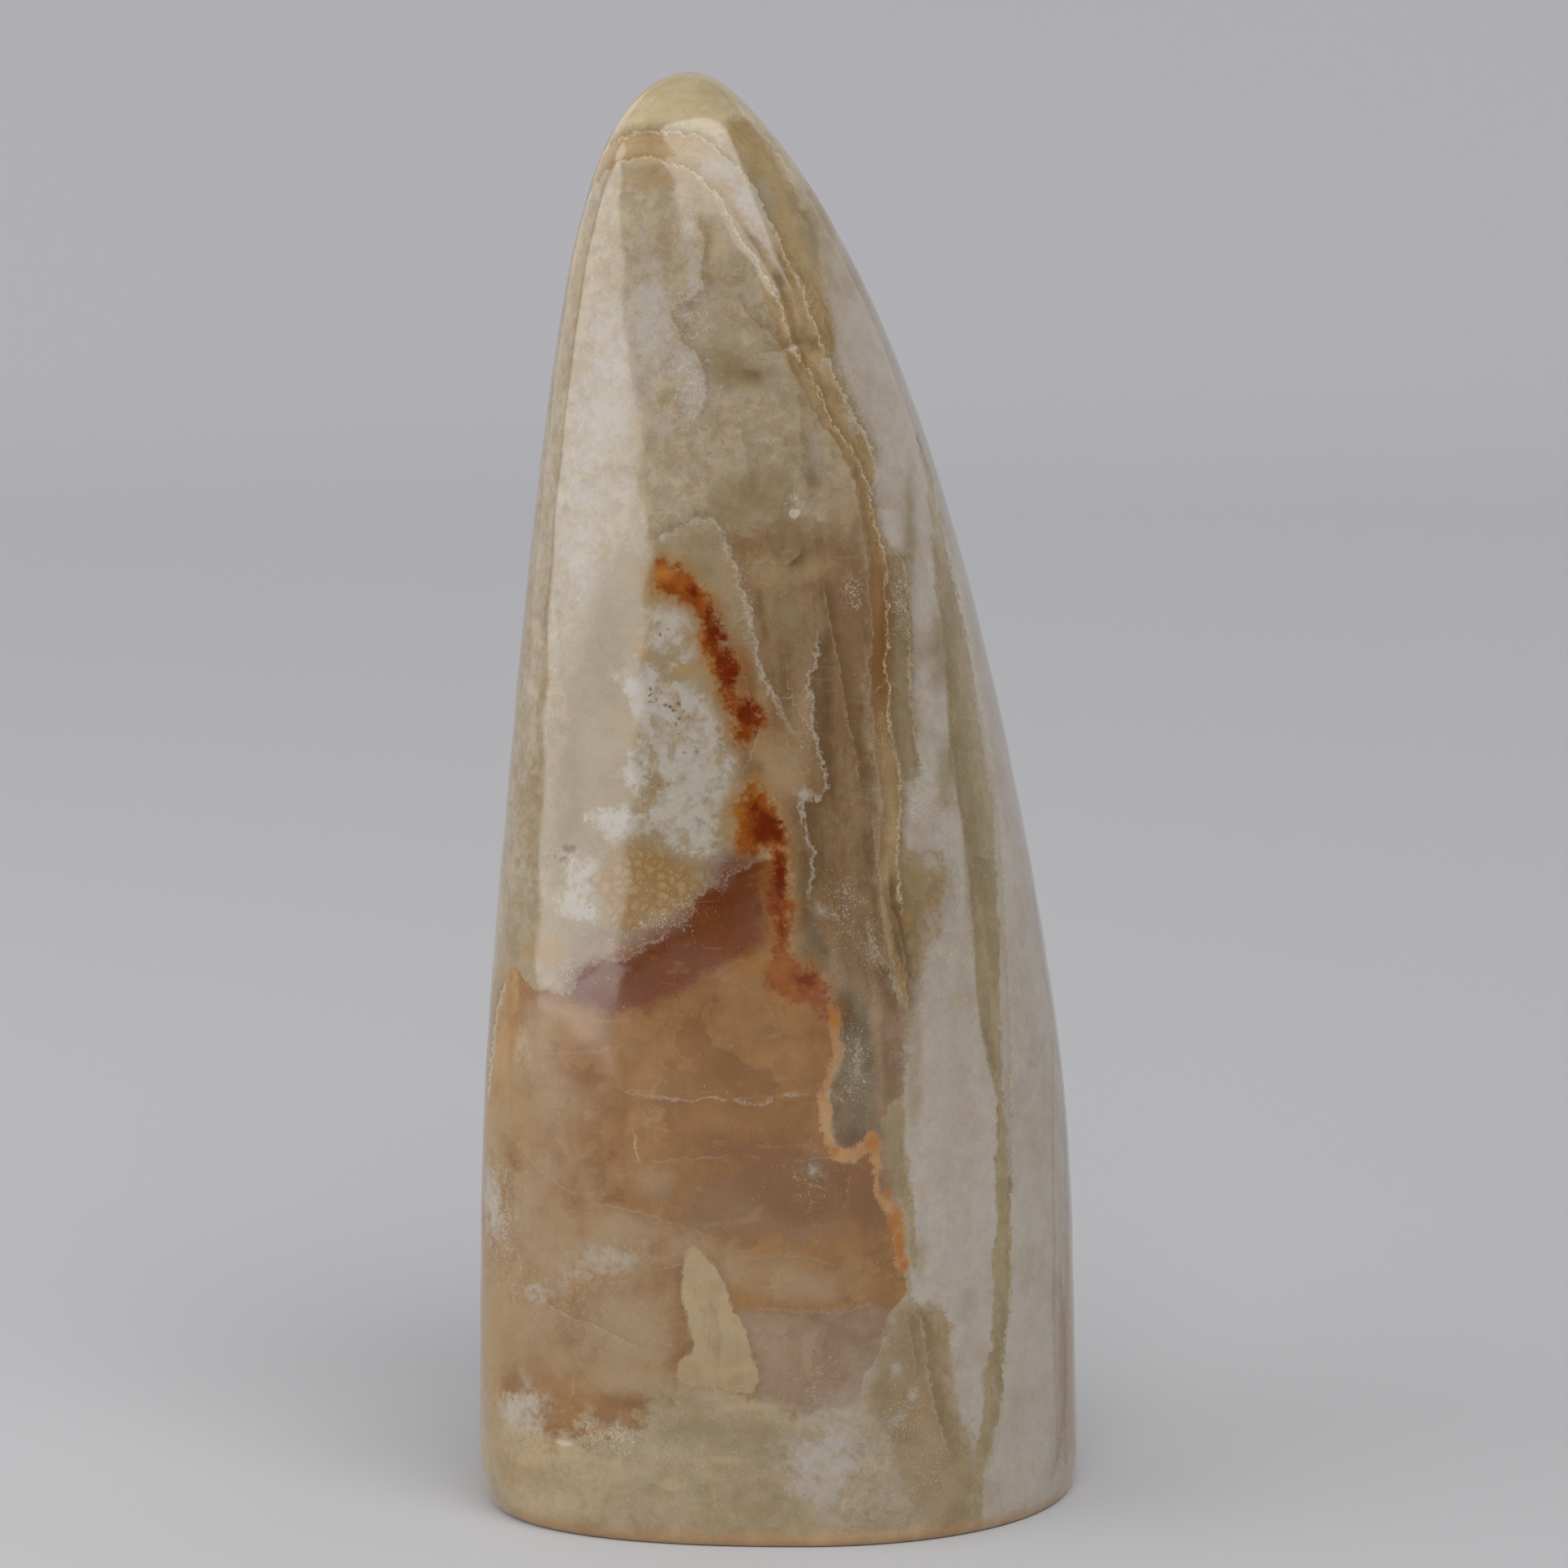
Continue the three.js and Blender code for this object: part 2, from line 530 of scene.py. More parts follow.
class NodeBench:
    """Builds a material's nodes in few words."""

    def __init__(self, material: bpy.types.Material) -> None:
        """Clears the material's nodes.

        Args:
            material: the material to build in.
        """
        material.use_nodes = True
        self.tree = material.node_tree
        self.tree.nodes.clear()

    def node(self, kind: str, **settings: object) -> bpy.types.Node:
        """Adds a node of a kind and sets its properties.

        Args:
            kind: the node's type.
            settings: the properties.

        Returns:
            The node.
        """
        made = self.tree.nodes.new(kind)
        for name, value in settings.items():
            setattr(made, name, value)
        return made

    def feed(self, socket: Socket, value: object) -> None:
        """Links a socket to another, or sets its value.

        Args:
            socket: the socket that takes it.
            value: a socket, a number, a vector or a colour.
        """
        if isinstance(value, bpy.types.NodeSocket):
            self.tree.links.new(value, socket)
        elif isinstance(value, tuple) and len(value) == 3 and socket.type == "RGBA":
            socket.default_value = (*value, 1)
        else:
            socket.default_value = value

    def math(self, operation: str, *values: object, clamp: bool = False) -> Socket:
        """Adds a math node.

        Args:
            operation: what it does.
            values: what it does it to.
            clamp: whether the result is kept from 0 to 1.

        Returns:
            The result.
        """
        made = self.node("ShaderNodeMath", operation=operation, use_clamp=clamp)
        for socket, value in zip(made.inputs, values, strict=False):
            self.feed(socket, value)
        return made.outputs[0]

    def vector(self, operation: str, *values: object) -> Socket:
        """Adds a vector math node.

        Args:
            operation: what it does.
            values: what it does it to.

        Returns:
            The result.
        """
        made = self.node("ShaderNodeVectorMath", operation=operation)
        for socket, value in zip(made.inputs, values, strict=False):
            self.feed(socket, value)
        return made.outputs[0]

    def attribute(self, name: str) -> bpy.types.Node:
        """Adds a node that reads an attribute of the mesh."""
        return self.node("ShaderNodeAttribute", attribute_name=name, attribute_type="GEOMETRY")

    def mix(self, factor: object, under: object, over: object, blend: str = "MIX") -> Socket:
        """Mixes two colours.

        Args:
            factor: how much of the second shows.
            under: the first colour.
            over: the second colour.
            blend: how they mix.

        Returns:
            The mixed colour.
        """
        made = self.node("ShaderNodeMix", data_type="RGBA", blend_type=blend)
        self.feed(made.inputs[0], factor)
        self.feed(made.inputs[MIX_UNDER], under)
        self.feed(made.inputs[MIX_OVER], over)
        return made.outputs[MIX_RESULT]

    def step(self, value: object, low: object, high: object, smooth: bool = True) -> Socket:
        """Maps a value from low to high onto 0 to 1.

        Args:
            value: the value.
            low: what becomes 0.
            high: what becomes 1.
            smooth: whether the ends are eased.

        Returns:
            A value from 0 to 1.
        """
        made = self.node(
            "ShaderNodeMapRange", interpolation_type="SMOOTHSTEP" if smooth else "LINEAR"
        )
        self.feed(made.inputs["Value"], value)
        self.feed(made.inputs["From Min"], low)
        self.feed(made.inputs["From Max"], high)
        return made.outputs[0]

    def noise(
        self, place: Socket, scale: float, detail: float = 3, rough: float = 0.55, warp: float = 0
    ) -> bpy.types.Node:
        """Adds a noise texture.

        Args:
            place: where it is read.
            scale: how many times it repeats over a unit.
            detail: its octaves.
            rough: how strong the finer octaves are.
            warp: how far it is distorted.

        Returns:
            The texture.
        """
        made = self.node("ShaderNodeTexNoise")
        self.feed(made.inputs["Vector"], place)
        made.inputs["Scale"].default_value = scale
        made.inputs["Detail"].default_value = detail
        made.inputs["Roughness"].default_value = rough
        made.inputs["Distortion"].default_value = warp
        return made

    def cells(self, place: Socket, scale: float, feature: str = "F1") -> bpy.types.Node:
        """Adds a cell texture.

        Args:
            place: where it is read.
            scale: how many cells there are over a unit.
            feature: what is measured in the cells.

        Returns:
            The texture.
        """
        made = self.node("ShaderNodeTexVoronoi", feature=feature)
        self.feed(made.inputs["Vector"], place)
        made.inputs["Scale"].default_value = scale
        return made

    def parts(self, value: Socket) -> tuple[Socket, Socket, Socket]:
        """Splits a vector or a colour into three values.

        Args:
            value: the vector or colour.

        Returns:
            Its three values.
        """
        made = self.node("ShaderNodeSeparateXYZ")
        self.feed(made.inputs[0], value)
        return made.outputs[0], made.outputs[1], made.outputs[2]

    def span(self, value: Socket, low: float, high: float) -> Socket:
        """Maps 0 to 1 onto low to high.

        Args:
            value: a value from 0 to 1.
            low: what 0 becomes.
            high: what 1 becomes.

        Returns:
            The mapped value.
        """
        made = self.node("ShaderNodeMapRange")
        self.feed(made.inputs["Value"], value)
        made.inputs["To Min"].default_value = low
        made.inputs["To Max"].default_value = high
        return made.outputs[0]

    def grey(self, value: Socket) -> Socket:
        """Turns a value into a grey.

        Args:
            value: how bright it is.

        Returns:
            The grey.
        """
        made = self.node("ShaderNodeCombineXYZ")
        for socket in made.inputs:
            self.feed(socket, value)
        return made.outputs[0]

    def blend_sum(self, *shares: tuple[Socket, float]) -> Socket:
        """Adds values up by their shares.

        Args:
            shares: each value with its share.

        Returns:
            The sum.
        """
        total = self.math("MULTIPLY", *shares[0])
        for value, share in shares[1:]:
            made = self.node("ShaderNodeMath", operation="MULTIPLY_ADD")
            self.feed(made.inputs[0], value)
            made.inputs[1].default_value = share
            self.feed(made.inputs[2], total)
            total = made.outputs[0]
        return total

    def warped(self, place: Socket, noises: tuple[Socket, Socket, Socket], amount: float) -> Socket:
        """Moves a place by some noises, by up to the amount each way.

        Args:
            place: the place.
            noises: one noise for each axis.
            amount: the most it moves.

        Returns:
            The moved place.
        """
        made = self.node("ShaderNodeCombineXYZ")
        for socket, noise in zip(made.inputs, noises, strict=True):
            self.feed(socket, self.swing(noise, amount))
        return self.vector("ADD", place, made.outputs[0])

    def swing(self, value: Socket, amount: float) -> Socket:
        """Turns a noise value into one that swings about zero by up to the amount."""
        centred = self.math("SUBTRACT", value, 0.5)
        return self.math("MULTIPLY", centred, 2 * amount)


class StoneGrain:
    """The stone's shared textures. Their places are in millimetres."""

    def __init__(self, bench: NodeBench) -> None:
        """Makes the textures.

        Args:
            bench: where the nodes are made.
        """
        self.bench = bench
        place = bench.vector("MULTIPLY", bench.node("ShaderNodeTexCoord").outputs["Object"], (1 / MM,) * 3)
        growth = bench.attribute("growth").outputs["Vector"]
        self.cloud = bench.parts(bench.noise(place, 0.085, 4, 0.55, 0.5).outputs["Color"])
        self.blotch = bench.parts(bench.noise(place, 0.33, 3, 0.5, 0.4).outputs["Color"])
        self.grain = bench.parts(bench.noise(place, 1.4, 4, 0.65).outputs["Color"])
        self.speck = bench.parts(bench.noise(place, 5.0, 2, 0.6).outputs["Color"])
        flaked = bench.warped(place, self.grain, 0.9)
        self.crystal = bench.parts(bench.noise(flaked, 0.75, 6, 0.66, 0.6).outputs["Color"])
        self.curd = bench.noise(place, 0.62, 2, 0.5, 0.4).outputs["Fac"]
        self.jag = bench.step(bench.blend_sum((self.grain[0], 0.5), (self.crystal[2], 0.5)), 0.36, 0.64)
        self.ragged = bench.step(bench.blend_sum((self.blotch[0], 0.5), (self.crystal[0], 0.5)), 0.36, 0.64)
        self.drift = bench.step(bench.blend_sum((self.cloud[2], 0.4), (self.blotch[0], 0.6)), 0.32, 0.68)
        tilted = bench.warped(place, self.blotch, 5.0)
        self.plate, _, _ = bench.parts(bench.cells(tilted, 0.13).outputs["Color"])
        self.crack = bench.step(bench.cells(tilted, 0.13, "DISTANCE_TO_EDGE").outputs["Distance"], 0.03, 0)
        net = bench.cells(bench.warped(place, self.grain, 0.5), 0.95, "DISTANCE_TO_EDGE")
        self.net = bench.step(net.outputs["Distance"], -0.04, 0.34)
        lying = bench.vector("MULTIPLY", bench.warped(place, self.grain, 0.2), (0.6, 0.6, 2.2))
        folded = bench.noise(lying, 0.075, 1, 0.3)
        first, second, _ = bench.parts(folded.outputs["Color"])
        self.web = bench.math("MAXIMUM", self.ridge(first), self.ridge(second))
        self.spots = bench.cells(bench.warped(place, self.grain, 0.4), 1.5).outputs["Distance"]
        wide = bench.noise(bench.vector("MULTIPLY", growth, (0.45, 0.06, 0.2)), 1.0, 2, 0.5, 0.8)
        fine = bench.noise(bench.vector("MULTIPLY", growth, (1.6, 0.4, 0.6)), 1.0, 4, 0.66, 1.2)
        self.layers = wide.outputs["Fac"]
        self.fibre = fine.outputs["Fac"]

    def ridge(self, value: Socket) -> Socket:
        """Gives a thin line wherever a noise value crosses its middle."""
        away = self.bench.math("ABSOLUTE", self.bench.math("SUBTRACT", value, 0.5))
        return self.bench.step(away, 0.011, 0.002)

    def woven(self, weave: Weave) -> Socket:
        """Gives the texture that moves a zone from deep to pale.

        Args:
            weave: which kind.

        Returns:
            A value from 0 to 1.
        """
        bench = self.bench
        if weave is Weave.BANDED:
            mixed = bench.blend_sum(
                (self.layers, 0.34), (self.blotch[2], 0.2), (self.crystal[1], 0.26), (self.fibre, 0.2)
            )
            return bench.step(mixed, 0.39, 0.61)
        if weave is Weave.CRYSTAL:
            mixed = bench.blend_sum((self.cloud[1], 0.35), (self.blotch[2], 0.3), (self.crystal[1], 0.35))
            return bench.step(mixed, 0.36, 0.62)
        if weave is Weave.CELLS:
            mixed = bench.blend_sum((self.net, 0.45), (self.blotch[2], 0.4), (self.crystal[1], 0.15))
            return bench.step(mixed, 0.3, 0.8)
        if weave is Weave.CURDS:
            mixed = bench.blend_sum((self.curd, 0.6), (self.crystal[1], 0.4))
            return bench.step(mixed, 0.36, 0.56)
        if weave is Weave.PLATES:
            mixed = bench.blend_sum(
                (self.cloud[1], 0.46), (self.blotch[2], 0.28), (self.plate, 0.12), (self.crystal[1], 0.14)
            )
            seams = bench.math("MULTIPLY", self.crack, bench.step(self.blotch[0], 0.5, 0.62))
            tones = bench.step(mixed, 0.34, 0.66)
            return bench.math("ADD", tones, bench.math("MULTIPLY", seams, 0.3), clamp=True)
        mixed = bench.blend_sum((self.cloud[1], 0.55), (self.blotch[2], 0.35), (self.crystal[1], 0.1))
        return bench.step(mixed, 0.36, 0.64)


@dataclass(frozen=True)
class Zone:
    """A part of the stone with a colour of its own.

    Colours are linear. The edge is how many millimetres the zone takes to fade in, and the
    fray is how many millimetres the grain moves its outline.
    """

    name: str
    patches: tuple[Patch, ...]
    deep: Colour
    pale: Colour
    weave: Weave = Weave.CLOUDY
    edge: float = 0.3
    fray: float = 0.4
    cover: float = 1.0
    outset: float = 0.0

    def measure(self, chart: MarkingChart) -> np.ndarray:
        """Reads each point's depth in the zone, in millimetres."""
        return chart.depth_in(self.patches)

    def lay(self, grain: StoneGrain, colour: Socket) -> Socket:
        """Lays the zone over the colour so far.

        Args:
            grain: the stone's textures.
            colour: the colour under it.

        Returns:
            The colour with the zone on it.
        """
        bench = grain.bench
        depth = bench.attribute(self.name).outputs["Fac"]
        reach = self.fray * 0.6
        moved = bench.math("ADD", depth, bench.swing(grain.jag, reach))
        moved = bench.math("ADD", moved, bench.swing(grain.ragged, reach))
        middle = -self.outset
        cover = bench.step(moved, middle - self.edge / 2, middle + self.edge / 2)
        if self.cover < 1:
            cover = bench.math("MULTIPLY", cover, self.cover)
        return bench.mix(cover, colour, bench.mix(grain.woven(self.weave), self.deep, self.pale))


@dataclass(frozen=True)
class Haze:
    """A family of clouds of one colour.

    Broken is how much the broad grain breaks them up, flaky is how much the small crystals do,
    soft is how gently they fade, and body is how soon their full thickness is reached.
    """

    name: str
    clouds: tuple[Cloud, ...]
    colour: Colour
    broken: float = 0.2
    flaky: float = 0.06
    soft: float = 1.0
    body: float = 2.5

    def measure(self, chart: MarkingChart) -> np.ndarray:
        """Reads how thick the clouds are at each point."""
        return chart.clouds(self.clouds)

    def lay(self, grain: StoneGrain, colour: Socket) -> Socket:
        """Lays the clouds over the colour so far.

        Args:
            grain: the stone's textures.
            colour: the colour under them.

        Returns:
            The colour with the clouds on it.
        """
        bench = grain.bench
        density = bench.attribute(self.name).outputs["Fac"]
        moved = bench.math("ADD", density, bench.swing(grain.drift, self.broken))
        moved = bench.math("ADD", moved, bench.swing(grain.jag, self.flaky))
        thick = bench.math("MULTIPLY", density, self.body, clamp=True)
        half = self.soft / 2
        cover = bench.math("MULTIPLY", bench.step(moved, 0.5 - half, 0.5 + half), thick)
        return bench.mix(cover, colour, self.colour)


@dataclass(frozen=True)
class Glitter:
    """Pale crystal specks, thickest where its clouds are."""

    name: str
    clouds: tuple[Cloud, ...]
    colour: Colour
    cover: float

    def measure(self, chart: MarkingChart) -> np.ndarray:
        """Reads how thick the clouds are at each point."""
        return chart.clouds(self.clouds)

    def lay(self, grain: StoneGrain, colour: Socket) -> Socket:
        """Lays the specks over the colour so far.

        Args:
            grain: the stone's textures.
            colour: the colour under them.

        Returns:
            The colour with the specks on it.
        """
        bench = grain.bench
        density = bench.attribute(self.name).outputs["Fac"]
        flakes = bench.blend_sum((grain.speck[0], 0.6), (grain.crystal[0], 0.25), (grain.grain[1], 0.15))
        raised = bench.math("ADD", flakes, bench.math("MULTIPLY", density, 0.14))
        cover = bench.math("MULTIPLY", bench.step(raised, 0.6, 0.72), self.cover)
        return bench.mix(cover, colour, self.colour)


@dataclass(frozen=True)
class VeinFamily:
    """Veins of one look.

    Widths, reaches and blurs are in millimetres. The fall is how fast the shade fades.
    """

    name: str
    veins: tuple[Vein, ...]
    colour: Colour
    width: float
    ragged: float
    shade_colour: Colour
    shade_reach: float
    shade_fall: float = 1.6
    outer_blur: float = 0.12
    inner_blur: float = 0.08

    def measure(self, chart: MarkingChart) -> np.ndarray:
        """Reads each point's place beside the veins."""
        return chart.veins(self.veins)

    def lay(self, grain: StoneGrain, colour: Socket) -> Socket:
        """Lays the veins over the colour so far, with the shade beside them.

        Args:
            grain: the stone's textures.
            colour: the colour under them.

        Returns:
            The colour with the veins on it.
        """
        bench = grain.bench
        offset, strength, shade = bench.parts(bench.attribute(self.name).outputs["Vector"])
        wander = bench.math("ADD", offset, bench.swing(grain.jag, self.ragged))
        aside = bench.math("MULTIPLY", wander, bench.math("SIGN", shade))
        far = bench.step(aside, self.shade_reach, 0, smooth=False)
        near = bench.step(aside, -0.1, 0.1)
        dark = bench.math("MULTIPLY", bench.math("POWER", far, self.shade_fall), near)
        dark = bench.math("MULTIPLY", dark, bench.math("ABSOLUTE", shade), clamp=True)
        colour = bench.mix(dark, colour, self.shade_colour)
        away = bench.math("ABSOLUTE", wander)
        half = self.width / 2
        line = bench.step(away, half + self.outer_blur, half - self.inner_blur)
        broken = bench.span(bench.step(grain.grain[1], 0.36, 0.58), 0.25, 1)
        cover = bench.math("MULTIPLY", bench.math("MULTIPLY", line, broken), strength, clamp=True)
        return bench.mix(cover, colour, self.colour)


# ----- The markings -----

CAP = (
    Patch(((-26, 132), (-21.6, 136), (-20.4, 138.8), (-19.5, 140.5), (-18, 142.2), (-16.5, 143.3),
           (-15, 143.9), (-12.5, 144.2), (-9, 143.8), (-7.5, 143.3), (-6.2, 142.3), (-5, 141.2),
           (-3.6, 139.8), (-2.6, 138.4), (-1.8, 136.8), (-1, 135), (0, 133.1), (1.6, 128), (4.5, 121),
           (9, 116), (16, 114), (26, 112), (26, 156), (-26, 156)), Side.THROUGH),
)
FLANK_CREAM = (
    Patch(((-24, 66), (-23.6, 61), (-23, 58.6), (-21, 58), (-17.9, 61.6), (-14.4, 62.4), (-10, 65.2),
           (-8.6, 67.6), (-6, 69), (-3, 71.3), (-1, 74), (-2, 78.6), (-4.2, 80), (-3.4, 84), (-2, 87.6),
           (-2.4, 92), (-3.2, 96.4), (-4.4, 100.2), (-6, 104.8), (-8.6, 105.6), (-10.4, 104.6),
           (-13.6, 103.2), (-17, 101), (-20, 96), (-22, 88), (-23.4, 78)), Side.THROUGH),
)
MID_LAYERS = (
    Patch(((-5.4, 104), (-2.5, 105), (1, 105.6), (4.4, 104.4), (6.6, 103.4), (8.4, 102.6), (9, 100),
           (9.2, 94), (9, 88), (9.6, 82), (10.2, 76), (10, 70), (10.6, 65), (11.8, 60), (12.6, 56.5),
           (12.9, 52), (12.6, 46), (11.4, 43), (9.8, 42.8), (7.3, 42), (5.6, 42.8), (5.3, 45),
           (5.2, 48), (6, 50), (6.4, 52), (6.1, 55), (5.2, 57), (4, 59.3), (2.5, 60.8), (1.2, 61.8),
           (1.2, 66), (1.1, 70), (0.6, 73.6), (-0.4, 77), (-2, 78.6), (-3.5, 79), (-4.4, 80),
           (-3.9, 82), (-3, 84), (-1.8, 87), (-2.4, 91.6), (-2.9, 94.6), (-3.4, 97.2), (-4.4, 100.4),
           (-5.2, 103)), Side.THROUGH),
)
SMOKE_DEPTH = (
    Patch(((5.3, 57.6), (6.1, 55), (6.4, 52), (6, 50), (5.2, 48.2), (5.3, 45), (5.6, 42.6), (7.2, 42),
           (9, 43.4), (9.9, 46), (10.2, 50), (9.6, 54), (8.2, 57.5), (6.6, 59)), Side.THROUGH),
    Patch(((0.6, 73.6), (1.1, 70), (1.2, 66), (1.2, 61.8), (2.5, 60.8), (4, 59.3), (4.6, 62), (3.6, 65),
           (3, 68.5), (2.6, 72), (1.6, 74.3)), Side.THROUGH),
)
PURPLE_SMOKE = (
    Patch(((-3.5, 22.3), (-4.8, 24.8), (-2, 25.1), (3, 24.9), (8, 25.2), (10.8, 24.9), (11.1, 23.6),
           (10.5, 21.7), (10.1, 20), (9.6, 19.2), (8.4, 17.8), (8.1, 15.5), (6, 14.8), (3, 14.5),
           (0, 15.2), (-2.2, 16), (-2.4, 18.5), (-3, 20.8))),
)
LILAC_SPAR = (
    Patch(((5.6, 129), (4.6, 127.6), (4.9, 125.5), (5.4, 122.5), (6.1, 119.5), (7, 117.2), (8.4, 114),
           (9.7, 111), (9.4, 108.8), (9.8, 106), (10.4, 103.8), (11.5, 101.9), (12.7, 100.8),
           (13.1, 98.5), (12.9, 96.5), (13.4, 93), (13.4, 90), (13.2, 87), (13.7, 84), (14, 81.5),
           (13.3, 78), (12.6, 75), (12.6, 73), (14.8, 71.6), (17, 70.6), (17.4, 67), (16.8, 64.5),
           (15.4, 62.5), (14.4, 60), (13.6, 57), (13.3, 53), (12.7, 47), (12.5, 43), (12.9, 37),
           (13.6, 32), (13.4, 27), (14.4, 25), (16.8, 24.2), (17.4, 21), (17.6, 18), (18.5, 14.5),
           (19.5, 11), (20.4, 7), (20.8, -4), (46, -4), (46, 122), (30, 121), (18, 123),
           (10, 128)), Side.THROUGH),
)
SPAR_TOP = (
    Patch(((3, 131), (8, 133), (14, 132), (22, 130), (46, 130), (46, 108), (12, 108), (8, 117),
           (5, 124)), Side.THROUGH),
)
OLIVE_BANDS = (
    Patch(((14.2, 113), (15.5, 105), (15.9, 99), (16.6, 94), (16.9, 90), (17.3, 86), (17.3, 82),
           (17.9, 77.5), (18.5, 75), (19.1, 71.5), (19.5, 67), (19.9, 62), (20.2, 57.5), (20.9, 52),
           (21.9, 48.5), (22.4, 45), (22.3, 39), (22.5, 34), (22, 28), (22.1, 22.5), (21.7, 18.8),
           (20.7, 16.8), (21.2, 14), (20.5, 10.5), (20.1, 6.5), (19.8, -4), (20.8, -4), (21.1, 5),
           (21.9, 9), (22.7, 12.5), (23.1, 16), (23.3, 19.5), (23.9, 24), (24, 30), (23.8, 36),
           (23.4, 42), (23, 47.5), (22.9, 52.5), (22.7, 57), (22.6, 62.5), (22.5, 66), (22.4, 69),
           (22.1, 73.5), (21.7, 77), (21.1, 80.8), (20.4, 84.3), (19.8, 88.5), (19.3, 91.8), (18.6, 95),
           (17.9, 99), (16.6, 105), (15, 110.5)), Side.THROUGH),
    Patch(((10.3, 44), (11, 43), (11.3, 41), (11.2, 38), (12.4, 36.3), (13.2, 34), (13.2, 31),
           (13.8, 29), (13.9, 32.5), (13.5, 36.5), (12.7, 41), (12.7, 45), (12, 47), (11, 46))),
)
OLIVE_CAP = (
    Patch(((-5.9, 144.4), (-5, 142.2), (-3.7, 140.3), (-2.4, 138), (-1.1, 135.2), (0.1, 133), (1, 131),
           (2.3, 128.8), (3, 126.4), (3.5, 124.8), (4.4, 123), (5.2, 121.2), (5.5, 123.5), (4.9, 127),
           (4.1, 130.5), (3.1, 134), (1.8, 137.6), (0.2, 141), (-1.8, 143.8),
           (-3.8, 145.4)), Side.THROUGH),
)
TAN_LAYERS = (
    Patch(((-22, 136), (-19.5, 140.5), (-18, 142.2), (-16.5, 143.3), (-15, 143.9), (-12.5, 144.2),
           (-9, 143.8), (-7.5, 143.3), (-6.2, 142.3), (-5, 141.2), (-3.6, 139.8), (-2.6, 138.4),
           (-1, 135), (0.9, 131), (2.4, 128.4), (3.3, 125.2), (4.7, 121.8), (6.1, 118), (7.4, 115.8),
           (8.6, 113.3), (9.5, 111), (9.6, 108.8), (8.6, 108.4), (7.2, 110), (6.2, 111.8), (4.8, 113.8),
           (3.6, 115.8), (2.5, 118), (1.8, 119.5), (1, 120.8), (0, 123.2), (-1.4, 127.6), (-2.6, 131.6),
           (-4.6, 134.6), (-6, 137.4), (-8.2, 139.6), (-11, 141), (-13.7, 141.7), (-16.4, 141),
           (-17.8, 140), (-19, 138.5), (-20, 137), (-22, 133)), Side.THROUGH),
    Patch(((13.2, 25), (14.4, 24.4), (17.2, 23.4), (17.4, 19.5), (17.3, 17), (17.8, 14), (18.1, 11.5),
           (19, 9), (18.6, 7), (17.4, 9.5), (16.7, 11), (16, 13.4), (15.5, 15.8), (15.1, 18.4),
           (14.9, 20.8), (14.2, 23.2))),
    Patch(((10.4, 79), (10.5, 76), (10.4, 73.2), (10.2, 70), (10.3, 67), (10.9, 63), (11.6, 60),
           (12.2, 57), (13, 57.6), (12.9, 61), (12.6, 64.4), (12.2, 67), (12.1, 69), (12, 71.8),
           (12.2, 74.4), (12.4, 76.8), (12.2, 78.4), (11.2, 79.4))),
)
BROWN_BAND = (
    Patch(((7.5, 110.2), (7.9, 108.6), (8.3, 106.3), (8.6, 104.5), (8.9, 102.6), (9.1, 100), (9, 98),
           (9.4, 95.6), (9.4, 92.4), (9, 90.6), (9.4, 89), (9.4, 86), (9.7, 83.6), (10, 81),
           (10.4, 78.6), (12.2, 78.6), (11.8, 81), (11.3, 83.3), (11, 85.2), (11.2, 87), (10.9, 89),
           (10.7, 90.5), (11.1, 92.2), (11.1, 94), (10.7, 95.8), (10.6, 98), (10.9, 99.6),
           (10.7, 101.4), (10.3, 103.4), (9.8, 105.4), (9.5, 107.4), (9.2, 108.9),
           (8.3, 110.4)), Side.THROUGH),
)
DARK_STRIP = (
    Patch(((10.8, 101.6), (12.7, 101.4), (13, 99.3), (13.3, 95.3), (13.2, 90), (13.7, 82.6),
           (14.4, 79.4), (12.9, 79.2), (12, 81.8), (11.4, 84.6), (11.3, 87), (11, 89), (10.8, 90.5),
           (11.2, 93), (10.9, 95.8), (10.7, 98), (11, 99.6)), Side.THROUGH),
)
AMBER_CALCITE = (
    Patch(((-26.1, 57.6), (-25.2, 57), (-23.8, 57.2), (-22.6, 57.1), (-21.4, 57.3), (-21, 58.5),
           (-20.1, 59.4), (-18.7, 60.2), (-17.9, 61.4), (-16.7, 61), (-15.3, 61.3), (-14.6, 62),
           (-13.4, 62.9), (-12.4, 63.4), (-11.4, 64.3), (-10, 64.9), (-9.2, 66), (-8.8, 67.2),
           (-7.6, 68.4), (-7, 69.2), (-5.6, 68.6), (-4.8, 70.2), (-3, 71.1), (-1.6, 71.6), (0, 71),
           (0.6, 66), (0.8, 62), (2.2, 60.4), (4.2, 58), (5.3, 56), (5.8, 53.5), (5.7, 51), (4.9, 48.6),
           (4.6, 46.5), (4.9, 43), (6.2, 41), (8.2, 41.2), (9.6, 42.8), (9.8, 39.5), (10, 37),
           (11.6, 35.4), (12.2, 32), (12.8, 29), (12.9, 26.5), (11.4, 24.6), (9.4, 21), (6.4, 17),
           (2, 13.4), (-4, 12.4), (-11, 12.8), (-15, 10.6), (-20.6, 8.4), (-23.5, 6.8), (-27, 8.6),
           (-32, 10), (-46, 10), (-46, 38), (-34, 39.5), (-31.2, 41.5), (-30.4, 45), (-30, 48),
           (-29.6, 51), (-29.2, 53.6), (-28.5, 56), (-27.8, 58.4), (-27, 58.6)), Side.THROUGH),
)
